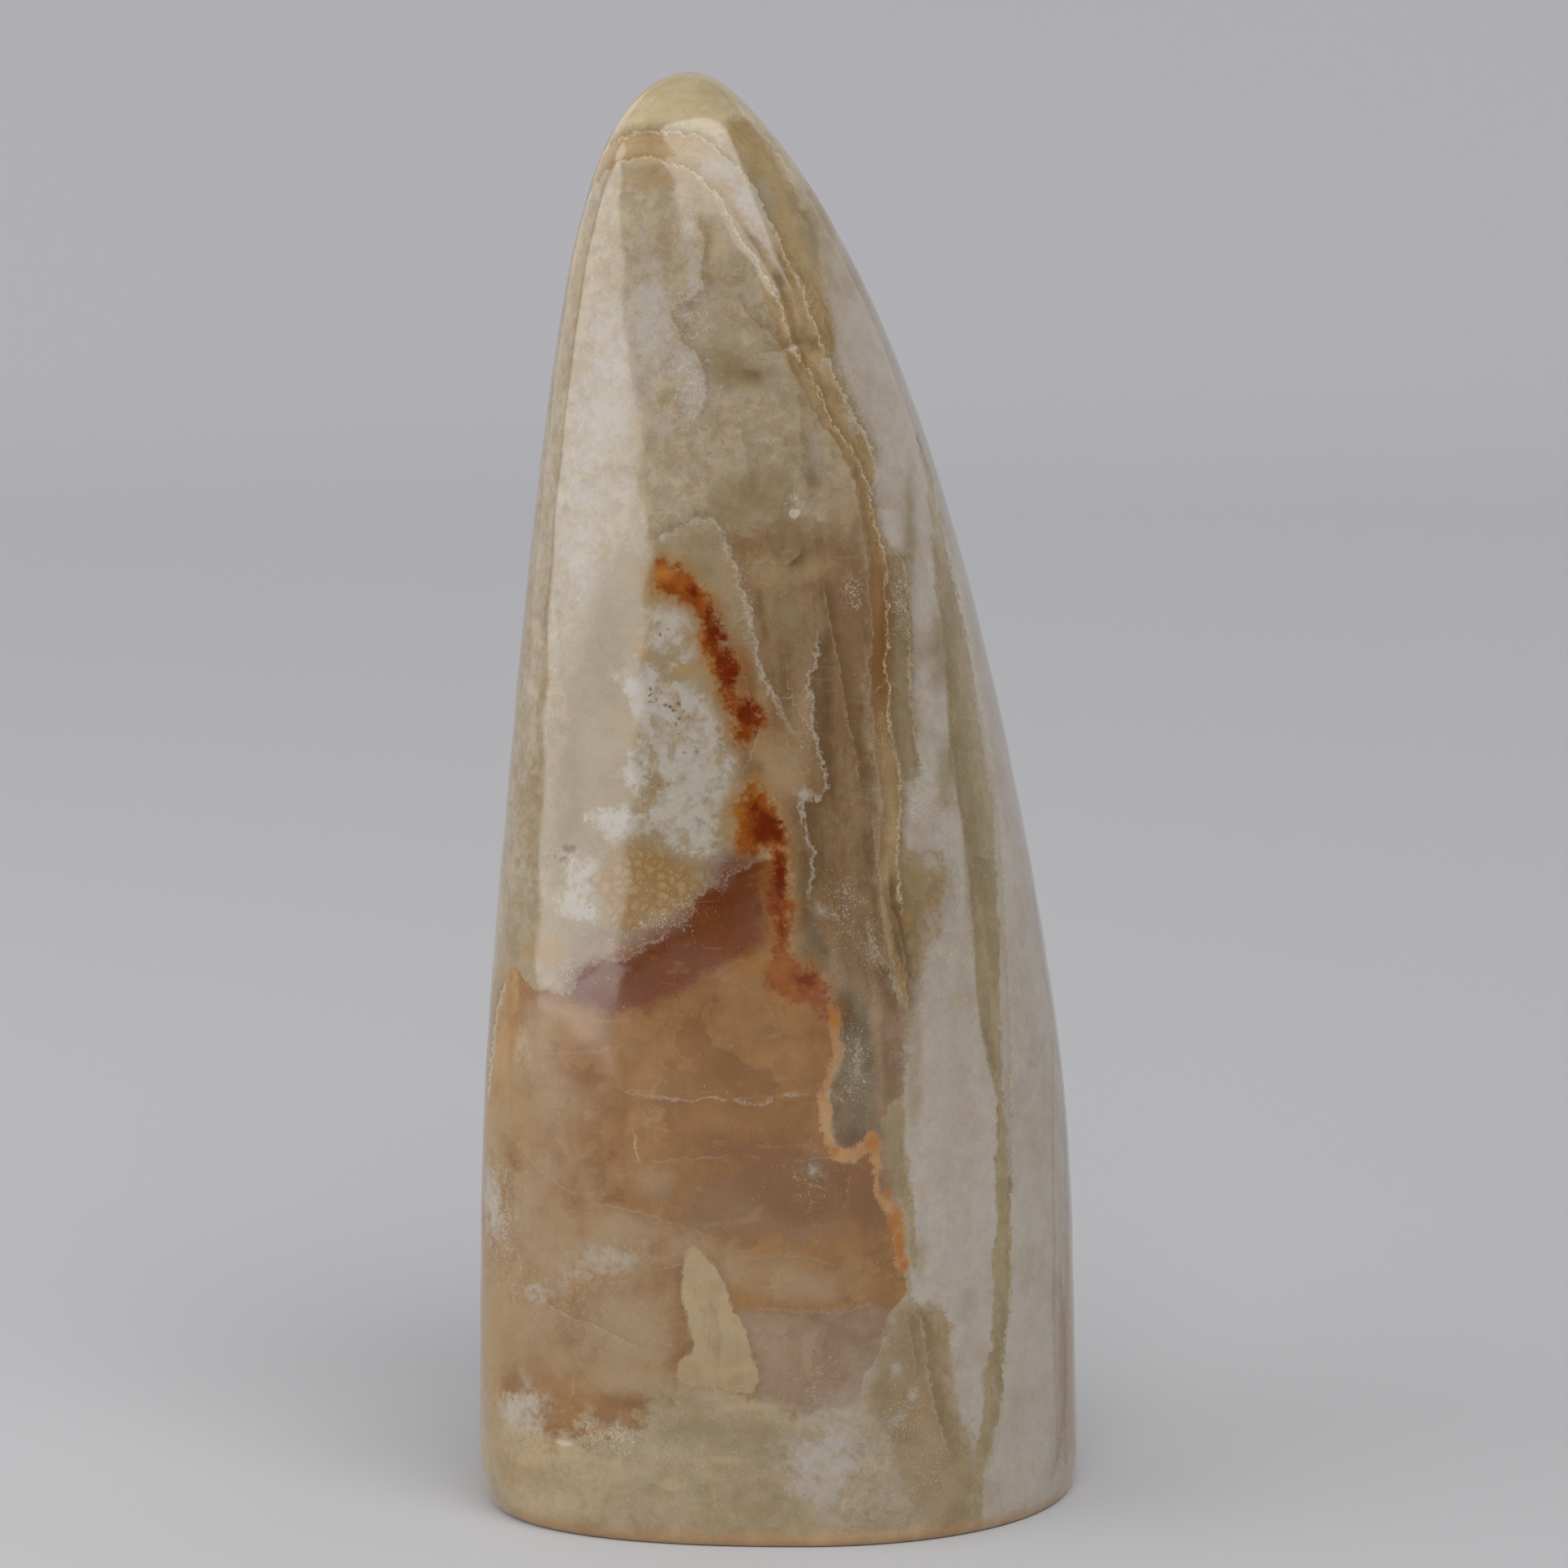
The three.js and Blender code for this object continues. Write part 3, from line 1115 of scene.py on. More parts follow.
WINE_SHADE = (
    Patch(((-21.4, 58), (-18.6, 61), (-15.5, 62), (-13, 63.9), (-10.3, 65.9), (-8.4, 68.6),
           (-6.5, 69.9), (-5, 71.2), (-2.5, 72), (-0.6, 70.8), (-0.6, 66.5), (-1.2, 63.4), (-3.5, 61.4),
           (-7, 59.8), (-10, 58), (-13, 56.4), (-16.5, 55.6), (-19.6, 55.8)), Side.THROUGH),
)
CRUST = (
    Patch(((-21.4, 57), (-21, 58.2), (-20.1, 59), (-18.7, 60), (-17.9, 61), (-16.7, 60.8), (-15.3, 61),
           (-14.6, 61.8), (-13.4, 62.6), (-12.4, 63), (-11.4, 64), (-10, 64.6), (-9.2, 65.8),
           (-8.8, 67), (-7.6, 68.2), (-7, 69), (-5.6, 68.4), (-4.8, 70), (-3, 71), (-2, 72.2), (-4, 73),
           (-6.2, 72.2), (-8, 70.8), (-9.8, 69.2), (-11.6, 67.6), (-13.6, 66.4), (-15.6, 65.2),
           (-17.8, 64.2), (-19.8, 62.8), (-21.8, 61), (-22.8, 58.6)), Side.THROUGH),
)
# A painted glow: the warm orange band along the foot stands in for the glow of light along the stone's
# lowest edge, where it sits on the floor. It is not a colour of the stone.
PAINTED_FOOT_GLOW = (
    Patch(((-46, -6), (46, -6), (46, 0.7), (-46, 0.7))),
)
HONEY_NET = (
    Patch(((-19.4, 68.6), (-17, 71.2), (-14.8, 72.9), (-12.6, 72.4), (-10.6, 71.2), (-8.4, 70.6),
           (-7.4, 69.4), (-9, 67.4), (-11, 66.2), (-13.4, 65.2), (-15, 64), (-16.8, 64.6),
           (-18, 66.6))),
)
MILK_PATCH = (
    Patch(((-12.5, 97.2), (-10.8, 97.4), (-9.3, 96.2), (-8.4, 94.6), (-8.2, 93), (-8.9, 91.9),
           (-10.5, 91.7), (-12, 92.2), (-13.4, 92.6), (-13.9, 93.8), (-13.6, 95.5))),
    Patch(((-15.8, 90.8), (-15.2, 91.3), (-13.5, 91.3), (-11.8, 90.2), (-10, 89.4), (-8.6, 89.3),
           (-7.7, 88), (-6.8, 86.5), (-6.3, 84.5), (-5.8, 82.5), (-5, 81.2), (-4.3, 79.8), (-4.9, 78.3),
           (-5.9, 76.9), (-6.3, 75.3), (-6.5, 73.5), (-7, 72.3), (-9, 71.9), (-11, 72.6), (-12.3, 74),
           (-13.5, 75.6), (-13, 77.4), (-12.4, 79.6), (-12.8, 81.6), (-13.4, 83.6), (-14.4, 85.4),
           (-15.4, 87), (-15.9, 89))),
    Patch(((-14.4, 83.4), (-13.2, 82.6), (-13.2, 80), (-13.8, 78), (-14.8, 77.6), (-15.4, 79),
           (-15.2, 81.4))),
    Patch(((-19, 76), (-17.4, 76.6), (-15, 76.4), (-13.4, 75.8), (-13.2, 74.4), (-15, 73.8),
           (-17, 73.2), (-18.4, 73.6), (-19.2, 74.6))),
    Patch(((-21, 84), (-19.4, 92), (-20.4, 99), (-17.6, 103.6), (-14.4, 101), (-13, 95), (-14, 88),
           (-12.4, 80), (-14.4, 75), (-18.4, 76.6)), Side.BACK),
    Patch(((-21.4, 71.6), (-20, 72), (-18.8, 71), (-18.2, 69.4), (-18.2, 67.4), (-18.8, 65.6),
           (-20.2, 64.6), (-21.6, 64.8), (-22.8, 66.2), (-22.6, 68.2), (-22.2, 70))),
)
RUST_STAIN = (
    Patch(((-14.4, 105), (-12, 101), (-11.2, 95), (-12, 88), (-10.4, 82), (-11.2, 80), (-13, 86),
           (-12.6, 95), (-13.6, 100.6)), Side.BACK),
    Patch(((-12.9, 100.4), (-12, 101.2), (-10.6, 100.5), (-9.4, 100.2), (-8.3, 99), (-7.3, 98.2),
           (-7.1, 96.5), (-6.6, 95), (-6.1, 93.8), (-5.2, 91.9), (-4.6, 90.8), (-4.9, 89.5),
           (-4.7, 88.2), (-3, 87.2), (-2, 86), (-2.3, 84.9), (-3.6, 83.4), (-4.4, 84.7), (-4.7, 86.2),
           (-5.8, 88.2), (-6.8, 91), (-7.8, 93.2), (-7.9, 95), (-8.9, 96.7), (-10.8, 97.7),
           (-12.6, 98.4))),
    Patch(((-4.6, 76.6), (-3.9, 78), (-3, 78.6), (-1.6, 78), (-0.6, 76.8), (-0.2, 75.2), (0.4, 73.6),
           (0.7, 71.5), (0.8, 69), (1.1, 66.5), (1, 63.5), (1.2, 61.3), (2.4, 60.6), (3.6, 59.5),
           (4.5, 58.1), (5.1, 56.8), (4.7, 55.6), (3.4, 56.6), (1.6, 57.2), (-0.4, 58.4), (-1.6, 60.4),
           (-0.4, 62.2), (-0.4, 64.6), (-0.9, 66.6), (-0.9, 69.6), (-0.5, 71.6), (-1.8, 72.4),
           (-3.3, 72.6), (-4.3, 74.2))),
)
ORANGE_RIM = (
    Patch(((4.6, 57), (5.6, 56), (6, 54.8), (6, 53.2), (6.3, 51.8), (5.8, 50.2), (5.1, 48.7), (5, 47.4),
           (5.2, 45.2), (5.3, 43.4), (6.2, 42), (7.4, 41.7), (8.5, 42.6), (9.4, 43.6), (10.2, 42.2),
           (10.3, 40.5), (10.1, 38.3), (11.1, 36.4), (12.2, 35.4), (12.7, 33.6), (12.8, 31),
           (13.3, 29.6), (12.9, 28.6), (12.3, 28.8), (11.6, 30.6), (11.8, 32.2), (11.5, 34),
           (10.4, 35.6), (9.7, 37.4), (9.5, 40), (9, 41.4), (7.4, 40.6), (5.6, 41), (4.5, 43),
           (4.3, 45.2), (4, 47), (4.5, 48.8), (5, 50.4), (5.1, 52.6), (4.9, 54.6)), Side.THROUGH),
)
LEFT_RIM = (
    Patch(((-27.9, 58.4), (-27, 57.6), (-27, 54), (-27.6, 50), (-28.6, 46.4), (-29.8, 43.6),
           (-30.6, 43), (-30.2, 46), (-29.8, 50), (-29.2, 53.6), (-28.5, 56)), Side.THROUGH),
)
BEIGE_BLADE = (
    Patch(((-8.9, 31.9), (-8.1, 31.1), (-7.1, 30), (-6.1, 28.8), (-5.5, 27.2), (-4.9, 25.4), (-3.9, 24),
           (-3.5, 22.7), (-3.1, 20.9), (-2.5, 19.2), (-2.3, 17.5), (-2.7, 16.5), (-4.8, 16.4),
           (-6.5, 17), (-8.6, 17.1), (-10.3, 17.4), (-10.6, 18.6), (-10.2, 19.9), (-9.1, 20.5),
           (-8.8, 21.7), (-9.4, 23.2), (-9.7, 25), (-10.2, 26.4), (-10, 28.9), (-9.8, 30.8))),
)
CREAM_FOOT = (
    Patch(((-46, 13), (-31, 13.8), (-28, 13.4), (-26.2, 12.2), (-25, 10.4), (-23.5, 9.7), (-22.3, 10.6),
           (-20.6, 12.1), (-17.5, 12.5), (-15, 13.3), (-12.6, 15.8), (-10.6, 17.6), (-7.6, 17.8),
           (-4.4, 17.2), (-2, 16.4), (1, 15.2), (2.8, 13), (3.3, 10), (3.6, 5), (4, -4),
           (-46, -4)), Side.THROUGH),
)
HONEY_FOOT = (
    Patch(((12.4, 71), (15.2, 70.3), (17.1, 68.8), (17.3, 67), (16.6, 64.8), (15.8, 62.8), (14.5, 61),
           (14, 59), (13.2, 60.6), (12.9, 63), (12.4, 65.6), (12.2, 68))),
    Patch(((11.7, 24.9), (13.4, 25), (15.4, 24), (17, 22), (17.2, 18), (17.8, 14), (18.6, 11),
           (19.6, 8), (19.8, 3), (19.6, -4), (15, -4), (14.6, 2), (13.4, 5.5), (12.4, 8.5), (11.8, 11),
           (10.4, 13.2), (8.9, 14.6), (8.8, 16.6), (9.9, 18.6), (10.6, 20.6),
           (11.4, 23)), Side.THROUGH),
)
SAND_HAZE = spots(
    (-26, 30, 4.4, 14, 0.75), (-16, 22, 7, 4.5, 0.9), (-22, 46, 4, 4, 0.3), (0.4, 28.6, 4, 2.4, 0.8),
    (-25, 51, 3, 6, 0.6), (8, 29, 3, 2.4, 0.3), (-19, 30, 8, 3.4, 0.7), (-13, 38.4, 3, 2.2, 0.6),
    (-1, 97, 2.6, 6, 0.15), (-15, 26, 4, 3, 0.6), (-20, 54.6, 2, 2, 0.2), (-14, 47, 5, 3.4, 0.2),
    (6, 107.4, 2.4, 3, 0.6), (3, 101.4, 5, 2, 0.35), (-15, 17.4, 7, 2, 0.85),
    (10.8, 78.6, 0.9, 2.6, 0.6), (-28.5, 20, 3.4, 4, 0.7), (-17, 33.5, 5, 2, 0.7), (-9, 32, 4, 2, 0.5),
    (-4.6, 29.6, 2.4, 2, 0.5), (4, 27.4, 5, 2, 0.5), (1, 81, 3, 5, 0.75), (-1.8, 83, 1.6, 3, 0.4),
    (2.2, 86, 1.2, 3.4, 0.5), (-4.5, 100, 2.2, 4, 0.5), (8, 129.4, 4, 3, 0.5), (2, 100.6, 6, 1.6, 0.5),
    (9.8, 56, 1, 6, 0.5), (10.2, 48, 1.2, 5, 0.5), (-21.6, 38, 4, 4, 0.4), (-20, 6, 6, 4, 0.3),
) + spots(
    (-38, 30, 4, 6, 0.6), (-30, 22, 6, 3, 0.6), (-12, 40, 6, 3, 0.5), (-2, 50, 4, 4, 0.4),
    (-20, 20, 4, 2, 0.5), side=Side.BACK,
)
ROSE_HAZE = spots(
    (7, 99, 1.6, 7, 0.9), (-1, 37.5, 7, 3.5, 0.6), (3.5, 40.5, 2.2, 1.8, 0.4), (6.6, 89, 1.4, 6, 0.8),
    (7.2, 46, 2, 2.4, 0.6), (-12, 37, 5, 3, 0.3), (5.5, 104, 3, 2.4, 0.5), (-4, 35, 8, 2.6, 0.5),
    (4, 33.4, 4, 2, 0.4), (-16.6, 9, 3.4, 1.4, 0.4), (-5, 12.6, 4, 1, 0.3),
) + spots(
    (-8, 52, 6, 3, 0.6), (-28, 40, 4, 2, 0.5), side=Side.BACK,
)
OLIVE_HAZE = spots(
    (-4.5, 107.5, 3.2, 3.6, 0.75), (-2.5, 120, 3, 1.8, 0.6), (-10.5, 124, 2, 2, 0.4),
    (-7.5, 147.6, 5.5, 1.4, 0.25, -8), (0.6, 97, 3, 6, 0.45), (11.6, 41, 1, 5, 0.7),
    (13.8, 50, 1.2, 8, 0.55), (13.3, 104, 1, 7, 0.6), (13.6, 66, 1.6, 4, 0.5), (-1, 11, 9, 3, 0.5),
    (-11, 12.5, 4, 1.8, 0.45), (-27.6, 61, 1.2, 3, 0.6), (12, 86, 0.9, 9, 0.55),
    (16.4, 81, 0.9, 6, 0.3), (7, 6, 3, 4, 0.2), (19.4, 30, 1.2, 14, 0.3), (9.5, 133, 3.6, 8, 0.6, 20),
    (14.4, 30, 1, 5, 0.4), (16.4, 92, 1.4, 5, 0.7), (17.4, 79, 1.4, 4, 0.6), (18.9, 84, 1.2, 5, 0.6),
    (19.8, 70, 1.1, 8, 0.7), (-8, 6, 7, 1.6, 0.4), (3.2, 134.4, 1.8, 6, 0.6, 20),
) + spots(
    (31, 34, 1.6, 26, 0.5), side=Side.THROUGH,
)
UMBER_HAZE = spots(
    (-3.4, 108.6, 1.6, 1.8, 0.35), (-3, 120.2, 1.8, 0.7, 0.5), (1.4, 101.6, 1, 0.8, 0.4),
    (4.9, 91, 0.8, 5, 0.5), (3.2, 76, 1.2, 1.6, 0.6), (2.4, 60.6, 1.4, 1.6, 0.4),
    (6.6, 56, 1.2, 1.6, 0.7), (3.6, 38.8, 2.8, 2.4, 0.6), (7.2, 43, 2, 1.2, 0.6),
    (2.6, 70, 0.7, 4, 0.4), (4.7, 85.5, 0.9, 4, 0.6), (6.4, 54.6, 0.8, 3, 0.8),
    (7.6, 45, 2.4, 2.4, 0.4), (2.2, 67, 0.8, 5, 0.45), (-16, 15, 4, 1, 0.45), (6.4, 38.8, 1, 1, 0.5),
    (12, 63, 0.8, 4, 0.6), (5.2, 21.5, 3.4, 2.4, 0.2), (-1, 22.4, 1.5, 1.6, 0.35),
    (8.4, 72, 1.2, 6, 0.25), (5.6, 68, 2.4, 5, 0.25), (-0.1, 129, 1, 2.4, 0.6), (3.2, 137, 1.4, 3, 0.2),
    (3.2, 109, 1.2, 3, 0.45), (3.3, 123, 1.2, 1.4, 0.4), (3.4, 64, 1, 3, 0.4),
) + spots(
    (-6, 96, 1, 4, 0.4), (-4.6, 104, 1, 3, 0.4), (-18, 118, 1.6, 1.4, 0.3), side=Side.BACK,
)
HONEY_HAZE = spots(
    (-14, 68, 3.8, 2.8, 0.9), (-9.6, 90.7, 2.2, 0.9, 0.75), (-10, 99, 3, 2, 0.55),
    (-7, 93, 1.6, 3, 0.5), (-4.2, 85.5, 1.4, 2.6, 0.6), (-3.8, 74.6, 2, 2.2, 0.7),
    (-24.3, 61, 2.6, 1.8, 0.7), (14.5, 15, 1.6, 5, 0.4), (-26, 6, 4, 3.4, 0.5), (-15.6, 84, 2, 6, 0.4),
    (30.7, 14, 1.2, 13), (-29.8, 42, 1.6, 10, 0.8), (-26.5, 42, 2, 4, 0.6), (-30, 18, 2, 11),
    (-14.5, 90.6, 2, 3, 0.35), (-14, 93, 1.2, 1.6, 0.7), (-15.4, 75, 4, 3, 0.4), (-12, 78, 1.4, 2, 0.4),
    (-17, 62, 3, 1.2, 0.4), (-3, 59.8, 4, 2.2, 0.3), (12.9, 65, 0.9, 1.2, 0.9), (17.2, 7.6, 1, 1, 0.6),
    (6, 138, 3.4, 8, 0.5, 20), (-28.6, 54, 1.2, 6, 0.5), (-18, 128, 3, 9, 0.15), (11, 76, 0.8, 5, 0.4),
    (-12, 139.5, 5, 1.6, 0.6), (-20, 16, 5, 2.6, 0.4), (9.9, 97, 0.9, 8, 0.4), (-28.6, 48, 1.6, 6, 0.8),
    (-13.6, 96, 1.6, 3, 0.5), (3.6, 100.4, 3, 1.4, 0.3), (-20, 34, 3, 3, 0.4), (-27.4, 24, 2, 5, 0.5),
) + spots(
    (-22, 108, 3, 7, 0.5), (-31, 80, 3, 8, 0.5), (-12, 5, 6, 2.4, 0.6), (-36, 56, 3, 6, 0.6),
    (-14, 128, 4, 5, 0.4), (-17, 82, 3, 2, 0.6), side=Side.BACK,
)
FROST = spots(
    (-8.6, 130.5, 1.2, 3.4, 0.8), (-11, 125.8, 2, 2, 0.75), (-9.4, 121.4, 1.8, 2, 0.8),
    (-8.2, 118, 2.2, 2.4, 0.75), (-11, 115.4, 2.2, 2, 0.5), (-16.4, 30.6, 4, 1.2, 0.45),
    (-19.4, 28.4, 4, 2, 0.45, 14), (-25.5, 25.6, 2, 1.2, 0.6), (-28.4, 23.4, 1.6, 2, 0.2),
    (-30, 33.5, 1.1, 4, 0.9), (7.9, 51, 1, 2.4, 0.4), (7.6, 115.4, 0.8, 1.8, 0.8),
    (4.6, 121, 0.8, 0.7, 0.6), (10.4, 108, 2, 1.6, 0.6), (15.6, 71, 1.3, 1.4, 0.75),
    (13.6, 78.2, 1.4, 0.8, 0.85), (-25, 14.2, 2.6, 1.2, 0.4, -20), (3.6, 8.6, 4, 5.4, 0.7),
    (6, 15, 4, 1.6, 0.5), (16, 60, 2, 9, 0.5), (17, 42, 2.4, 12, 0.45), (4, 66.5, 1.2, 1, 0.4),
    (-15, 110, 5, 12, 0.12), (12, 18.6, 0.9, 0.8, 0.6), (13.6, 15.8, 0.9, 0.8, 0.6),
    (12.2, 13.2, 0.9, 0.8, 0.6), (-8.4, 18.2, 1.1, 0.7, 0.6), (2.6, 78.2, 1.2, 0.6, 0.7),
    (-12.6, 65.6, 1.8, 0.9, 0.4, 30), (3.4, 39.6, 1.6, 1, 0.4), (25, 10, 2.4, 8, 0.3),
    (-6, 112, 4, 3, 0.3), (20.8, 20.2, 0.5, 0.5, 0.8), (18.4, 16.2, 0.5, 0.5, 0.8),
    (19.1, 12.2, 0.5, 0.6, 0.7),
) + spots(
    (13, 131, 7, 3, 0.8), side=Side.THROUGH,
) + spots(
    (-34, 36, 3, 1.6, 0.6), (-22, 26, 5, 1.4, 0.5), (-8, 110, 3, 6, 0.5), (-27, 92, 2.4, 9, 0.4),
    (-8, 120, 4, 4, 0.5), (-20, 7, 7, 3, 0.5), (-37, 70, 2, 8, 0.4), side=Side.BACK,
)
# Pale pearl clouds. Those at x -17 and further left between z 95 and 130, and the three near the top
# between z 131 and 143, are painted highlight: they whiten the colour where the polish mirrors the tall
# light and the overhead light. The others are the stone's own pale spar.
PEARL_AND_HIGHLIGHT_HAZE = spots(
    (-18.8, 116, 3, 10, 0.6), (-20.6, 102, 3, 10, 0.5), (-6.2, 140.6, 2.6, 2.2, 0.8),
    (-3, 137.2, 2.2, 2.6, 0.7), (-1.5, 134, 1.8, 3, 0.5), (-27, 12.4, 3, 2.6, 0.7),
    (8.6, 19, 2.2, 3.4, 0.45), (2.6, 9, 3.6, 4, 0.45), (17.2, 66, 1, 3, 0.5), (16.6, 50, 1.4, 9, 0.6),
    (-13.3, 124, 2.6, 8, 0.7), (6.6, 9.6, 2.6, 4, 0.5), (-17, 122, 2.4, 9, 0.3),
    (3.4, 113, 1.2, 3, 0.3),
)
# Wheat-coloured clouds, mostly the stone's own warm tone. Two are painted highlight: the one at x -27, z 51
# and the one at x -6.7, z 133.4 brighten the colour where the polish mirrors the tall light and the
# overhead light.
WHEAT_AND_HIGHLIGHT_HAZE = spots(
    (-13, 141.9, 6.5, 1.5, 0.9), (6.5, 113, 1.3, 7, 0.35), (6.7, 105.5, 1, 3, 0.4),
    (-21, 131, 2, 7, 0.4), (-20, 7, 4, 2.6, 0.45), (-7, 7.6, 1.6, 1, 0.6), (-24, 3, 6, 2, 0.7),
    (-22, 8.4, 6, 2, 0.5), (-6.7, 133.4, 2, 2.4, 0.65), (-11, 6.4, 1.4, 0.7, 0.8),
    (-5.6, 9.3, 3.6, 0.4, 0.6), (-2, 15, 5, 0.7, 0.6), (-27, 51, 2, 3, 0.5), (-27, 10, 2.6, 5, 0.35),
)
FRECKLES = spots(
    (-13.2, 87.8, 1.4, 1.3), (-10.6, 86.6, 1.5, 1), (-9.8, 84.8, 1, 1.2), (-11.7, 94.2, 0.8, 0.8, 0.9),
    (-9, 82.4, 2.4, 0.8, 0.6), (-22.6, 71, 1.6, 0.7, 0.9), (-12, 79, 1.6, 1.4, 0.6),
    (-19.5, 66, 0.8, 0.8, 0.8), (-12, 102.5, 0.6, 0.6, 0.5),
)

GROWTH_LINE: ChartPath = (
    (-24, 128), (-21, 135.5), (-17.8, 140), (-13.7, 141.7), (-9.5, 140.4), (-6, 137.4),
    (-3.6, 133.1), (-0.5, 128.3), (1.2, 123), (4.2, 117.6), (7.4, 112.2), (9.2, 105), (10, 95),
    (10.4, 85), (10.9, 75), (11.8, 65), (12.8, 55), (13.4, 45), (13.6, 33), (14.6, 23),
    (16.6, 12), (18.6, 2), (19.6, -8),
)

FIRST_RIM = (
    Vein(((-20.4, 138.8), (-19.5, 140.5), (-18, 142.2), (-16.5, 143.3), (-15, 143.9), (-12.5, 144.2),
          (-9, 143.8), (-7.5, 143.3), (-6.2, 142.3), (-5, 141.2), (-3.6, 139.8), (-2.6, 138.4),
          (-1.8, 136.8), (-1, 135), (0, 133.1), (0.9, 131), (1.7, 129.7), (2.4, 128.4), (2.8, 126.8),
          (3.3, 125.2), (4, 123.8), (4.7, 121.8), (5.4, 120), (6.4, 118), (7.5, 115.8), (8.6, 113.8),
          (9.5, 111.6), (9.8, 110)), 1.0, -0.75, Side.THROUGH),
    Vein(((10.8, 101.9), (12.2, 101.4), (12.8, 100.2), (13, 98.4), (12.8, 96.4), (13.2, 94), (13.1, 92),
          (13.3, 90.2), (13.1, 88), (13.6, 85), (14, 82)), 0.6, -0.5, Side.THROUGH),
    Vein(((13.4, 25.2), (14.2, 24), (14.8, 22.4), (15, 20.5), (15.3, 18), (15.7, 15.5), (16.4, 12.8),
          (17, 10.6), (17.8, 8.6)), 0.45, -0.7),
    Vein(((-28.1, 58), (-28.8, 55.6), (-29.4, 53.5), (-29.8, 50.5), (-30.2, 47),
          (-30.6, 43.5)), 0.9, 0.7, Side.THROUGH),
    Vein(((17.4, 101), (18.2, 97.5), (18.8, 95), (19.5, 92), (20.1, 88.5), (20.9, 84.6), (21.7, 81),
          (22.4, 77.4), (22.8, 73.5), (23.1, 69), (23.3, 64), (23.7, 57), (24, 49), (24.1, 40),
          (24, 30), (23.6, 20), (22.9, 13), (21.8, 6)), 0.65, 0.3, Side.THROUGH),
)
SECOND_RIM = (
    Vein(((-21.2, 134.6), (-20, 137), (-19, 138.5), (-17.8, 140), (-16.4, 141), (-15, 141.4),
          (-13.7, 141.7), (-12.5, 141.5), (-11, 141), (-9.5, 140.4), (-8.2, 139.6), (-6.9, 138.5),
          (-6, 137.4), (-5.3, 136.1), (-4.6, 134.6), (-3.6, 133.1), (-2.6, 131.9), (-2, 130.8),
          (-1.3, 129.5), (-0.5, 128.3), (0, 126.8), (0.5, 125.2), (1.2, 123), (2.2, 121.3),
          (3.2, 119.8), (4.2, 117.6), (5, 115.7), (5.8, 114.3), (7.4, 112.2), (8.4, 110.3),
          (9.1, 108.6), (9.4, 106), (10, 104), (10.6, 102), (10.9, 99.5), (10.6, 98), (11, 96.6),
          (10.8, 95.6), (11.1, 93.7), (11.1, 92.1), (10.7, 90.5), (11, 89), (11.2, 87), (11.1, 85.1),
          (11.4, 83.2), (11.9, 81.3), (12.1, 79.5), (12.3, 77), (12.1, 74.4), (12, 71.8), (12.1, 69),
          (12.2, 67), (12.6, 65)), 1.0, -0.6, Side.THROUGH),
)
THIRD_RIM = (
    Vein(((-4.9, 128.5), (-3, 125.6), (-1.4, 124.4), (0.3, 122.6), (1, 120.8), (2, 119.2), (2.5, 118),
          (3.5, 116), (4.5, 114.5), (5.5, 113.4), (6.4, 111.6), (7.2, 110), (7.7, 108.4), (8.1, 106),
          (8.6, 103.4), (9, 100.6), (8.9, 98), (9.3, 95.6), (9.3, 92.4), (8.9, 90.6), (9.3, 89),
          (9, 87.4), (9.4, 85.4), (9.6, 82), (10, 79.4), (10.4, 77), (10.1, 74), (10.1, 70),
          (10.7, 66.4), (11.7, 62.4), (12.5, 58.4)), 0.5, -0.5, Side.THROUGH),
    Vein(((2.6, 130.2), (3.4, 129), (4, 127.2), (4.5, 125.6), (4.9, 123.6),
          (5.6, 121.4)), 0.5, -0.4, Side.THROUGH),
    Vein(((12.9, 25), (13.2, 22.8), (13.7, 20.2), (14, 17)), 0.5, -0.4),
    Vein(((5.5, 57.4), (6.2, 55), (6.2, 53.4), (6.5, 51.8), (6, 50), (5.3, 48.4), (5.2, 46.6),
          (5.4, 44.6), (5.5, 43.2)), 0.35, -0.6, Side.THROUGH),
)
STEP_EDGES = (
    Vein(((-14, 103), (-12.5, 103.3), (-11.4, 103.9), (-10.2, 104.7), (-8.6, 105.6), (-6.9, 105.6),
          (-6.1, 104.7), (-5.4, 103.2), (-5.1, 102), (-4.4, 100.4), (-4, 98.8), (-3.4, 97.2),
          (-3, 95.8), (-2.9, 94.6), (-2.5, 93.4), (-2.4, 91.6), (-1.8, 90), (-0.6, 88), (0.3, 86),
          (1.5, 84)), 0.7, -0.45),
    Vein(((4, 95), (3.8, 92.5), (3.5, 91), (2.8, 89.5), (3, 88), (3.3, 86.5), (3.4, 85), (3.8, 83),
          (4, 82), (4.4, 80.5), (4.7, 79.3), (4.6, 78.4), (3.4, 77.6), (2.2, 77.6), (2.3, 75.5),
          (2.7, 73.6), (3.3, 72.6), (3.4, 71.4), (3.2, 70.2), (3, 67)), 0.7, -0.95, Side.THROUGH),
    Vein(((8.7, 66), (9, 64.4), (9.4, 62.8), (10, 61.6), (10.9, 60.4), (11.5, 59), (12.1, 57.6),
          (12.6, 56.2)), 0.5, 0.3),
    Vein(((-10, 116), (-8.6, 111), (-9.4, 106), (-7, 101), (-7.8, 96), (-5.4, 90),
          (-5.8, 84)), 0.5, -0.8, Side.BACK),
)
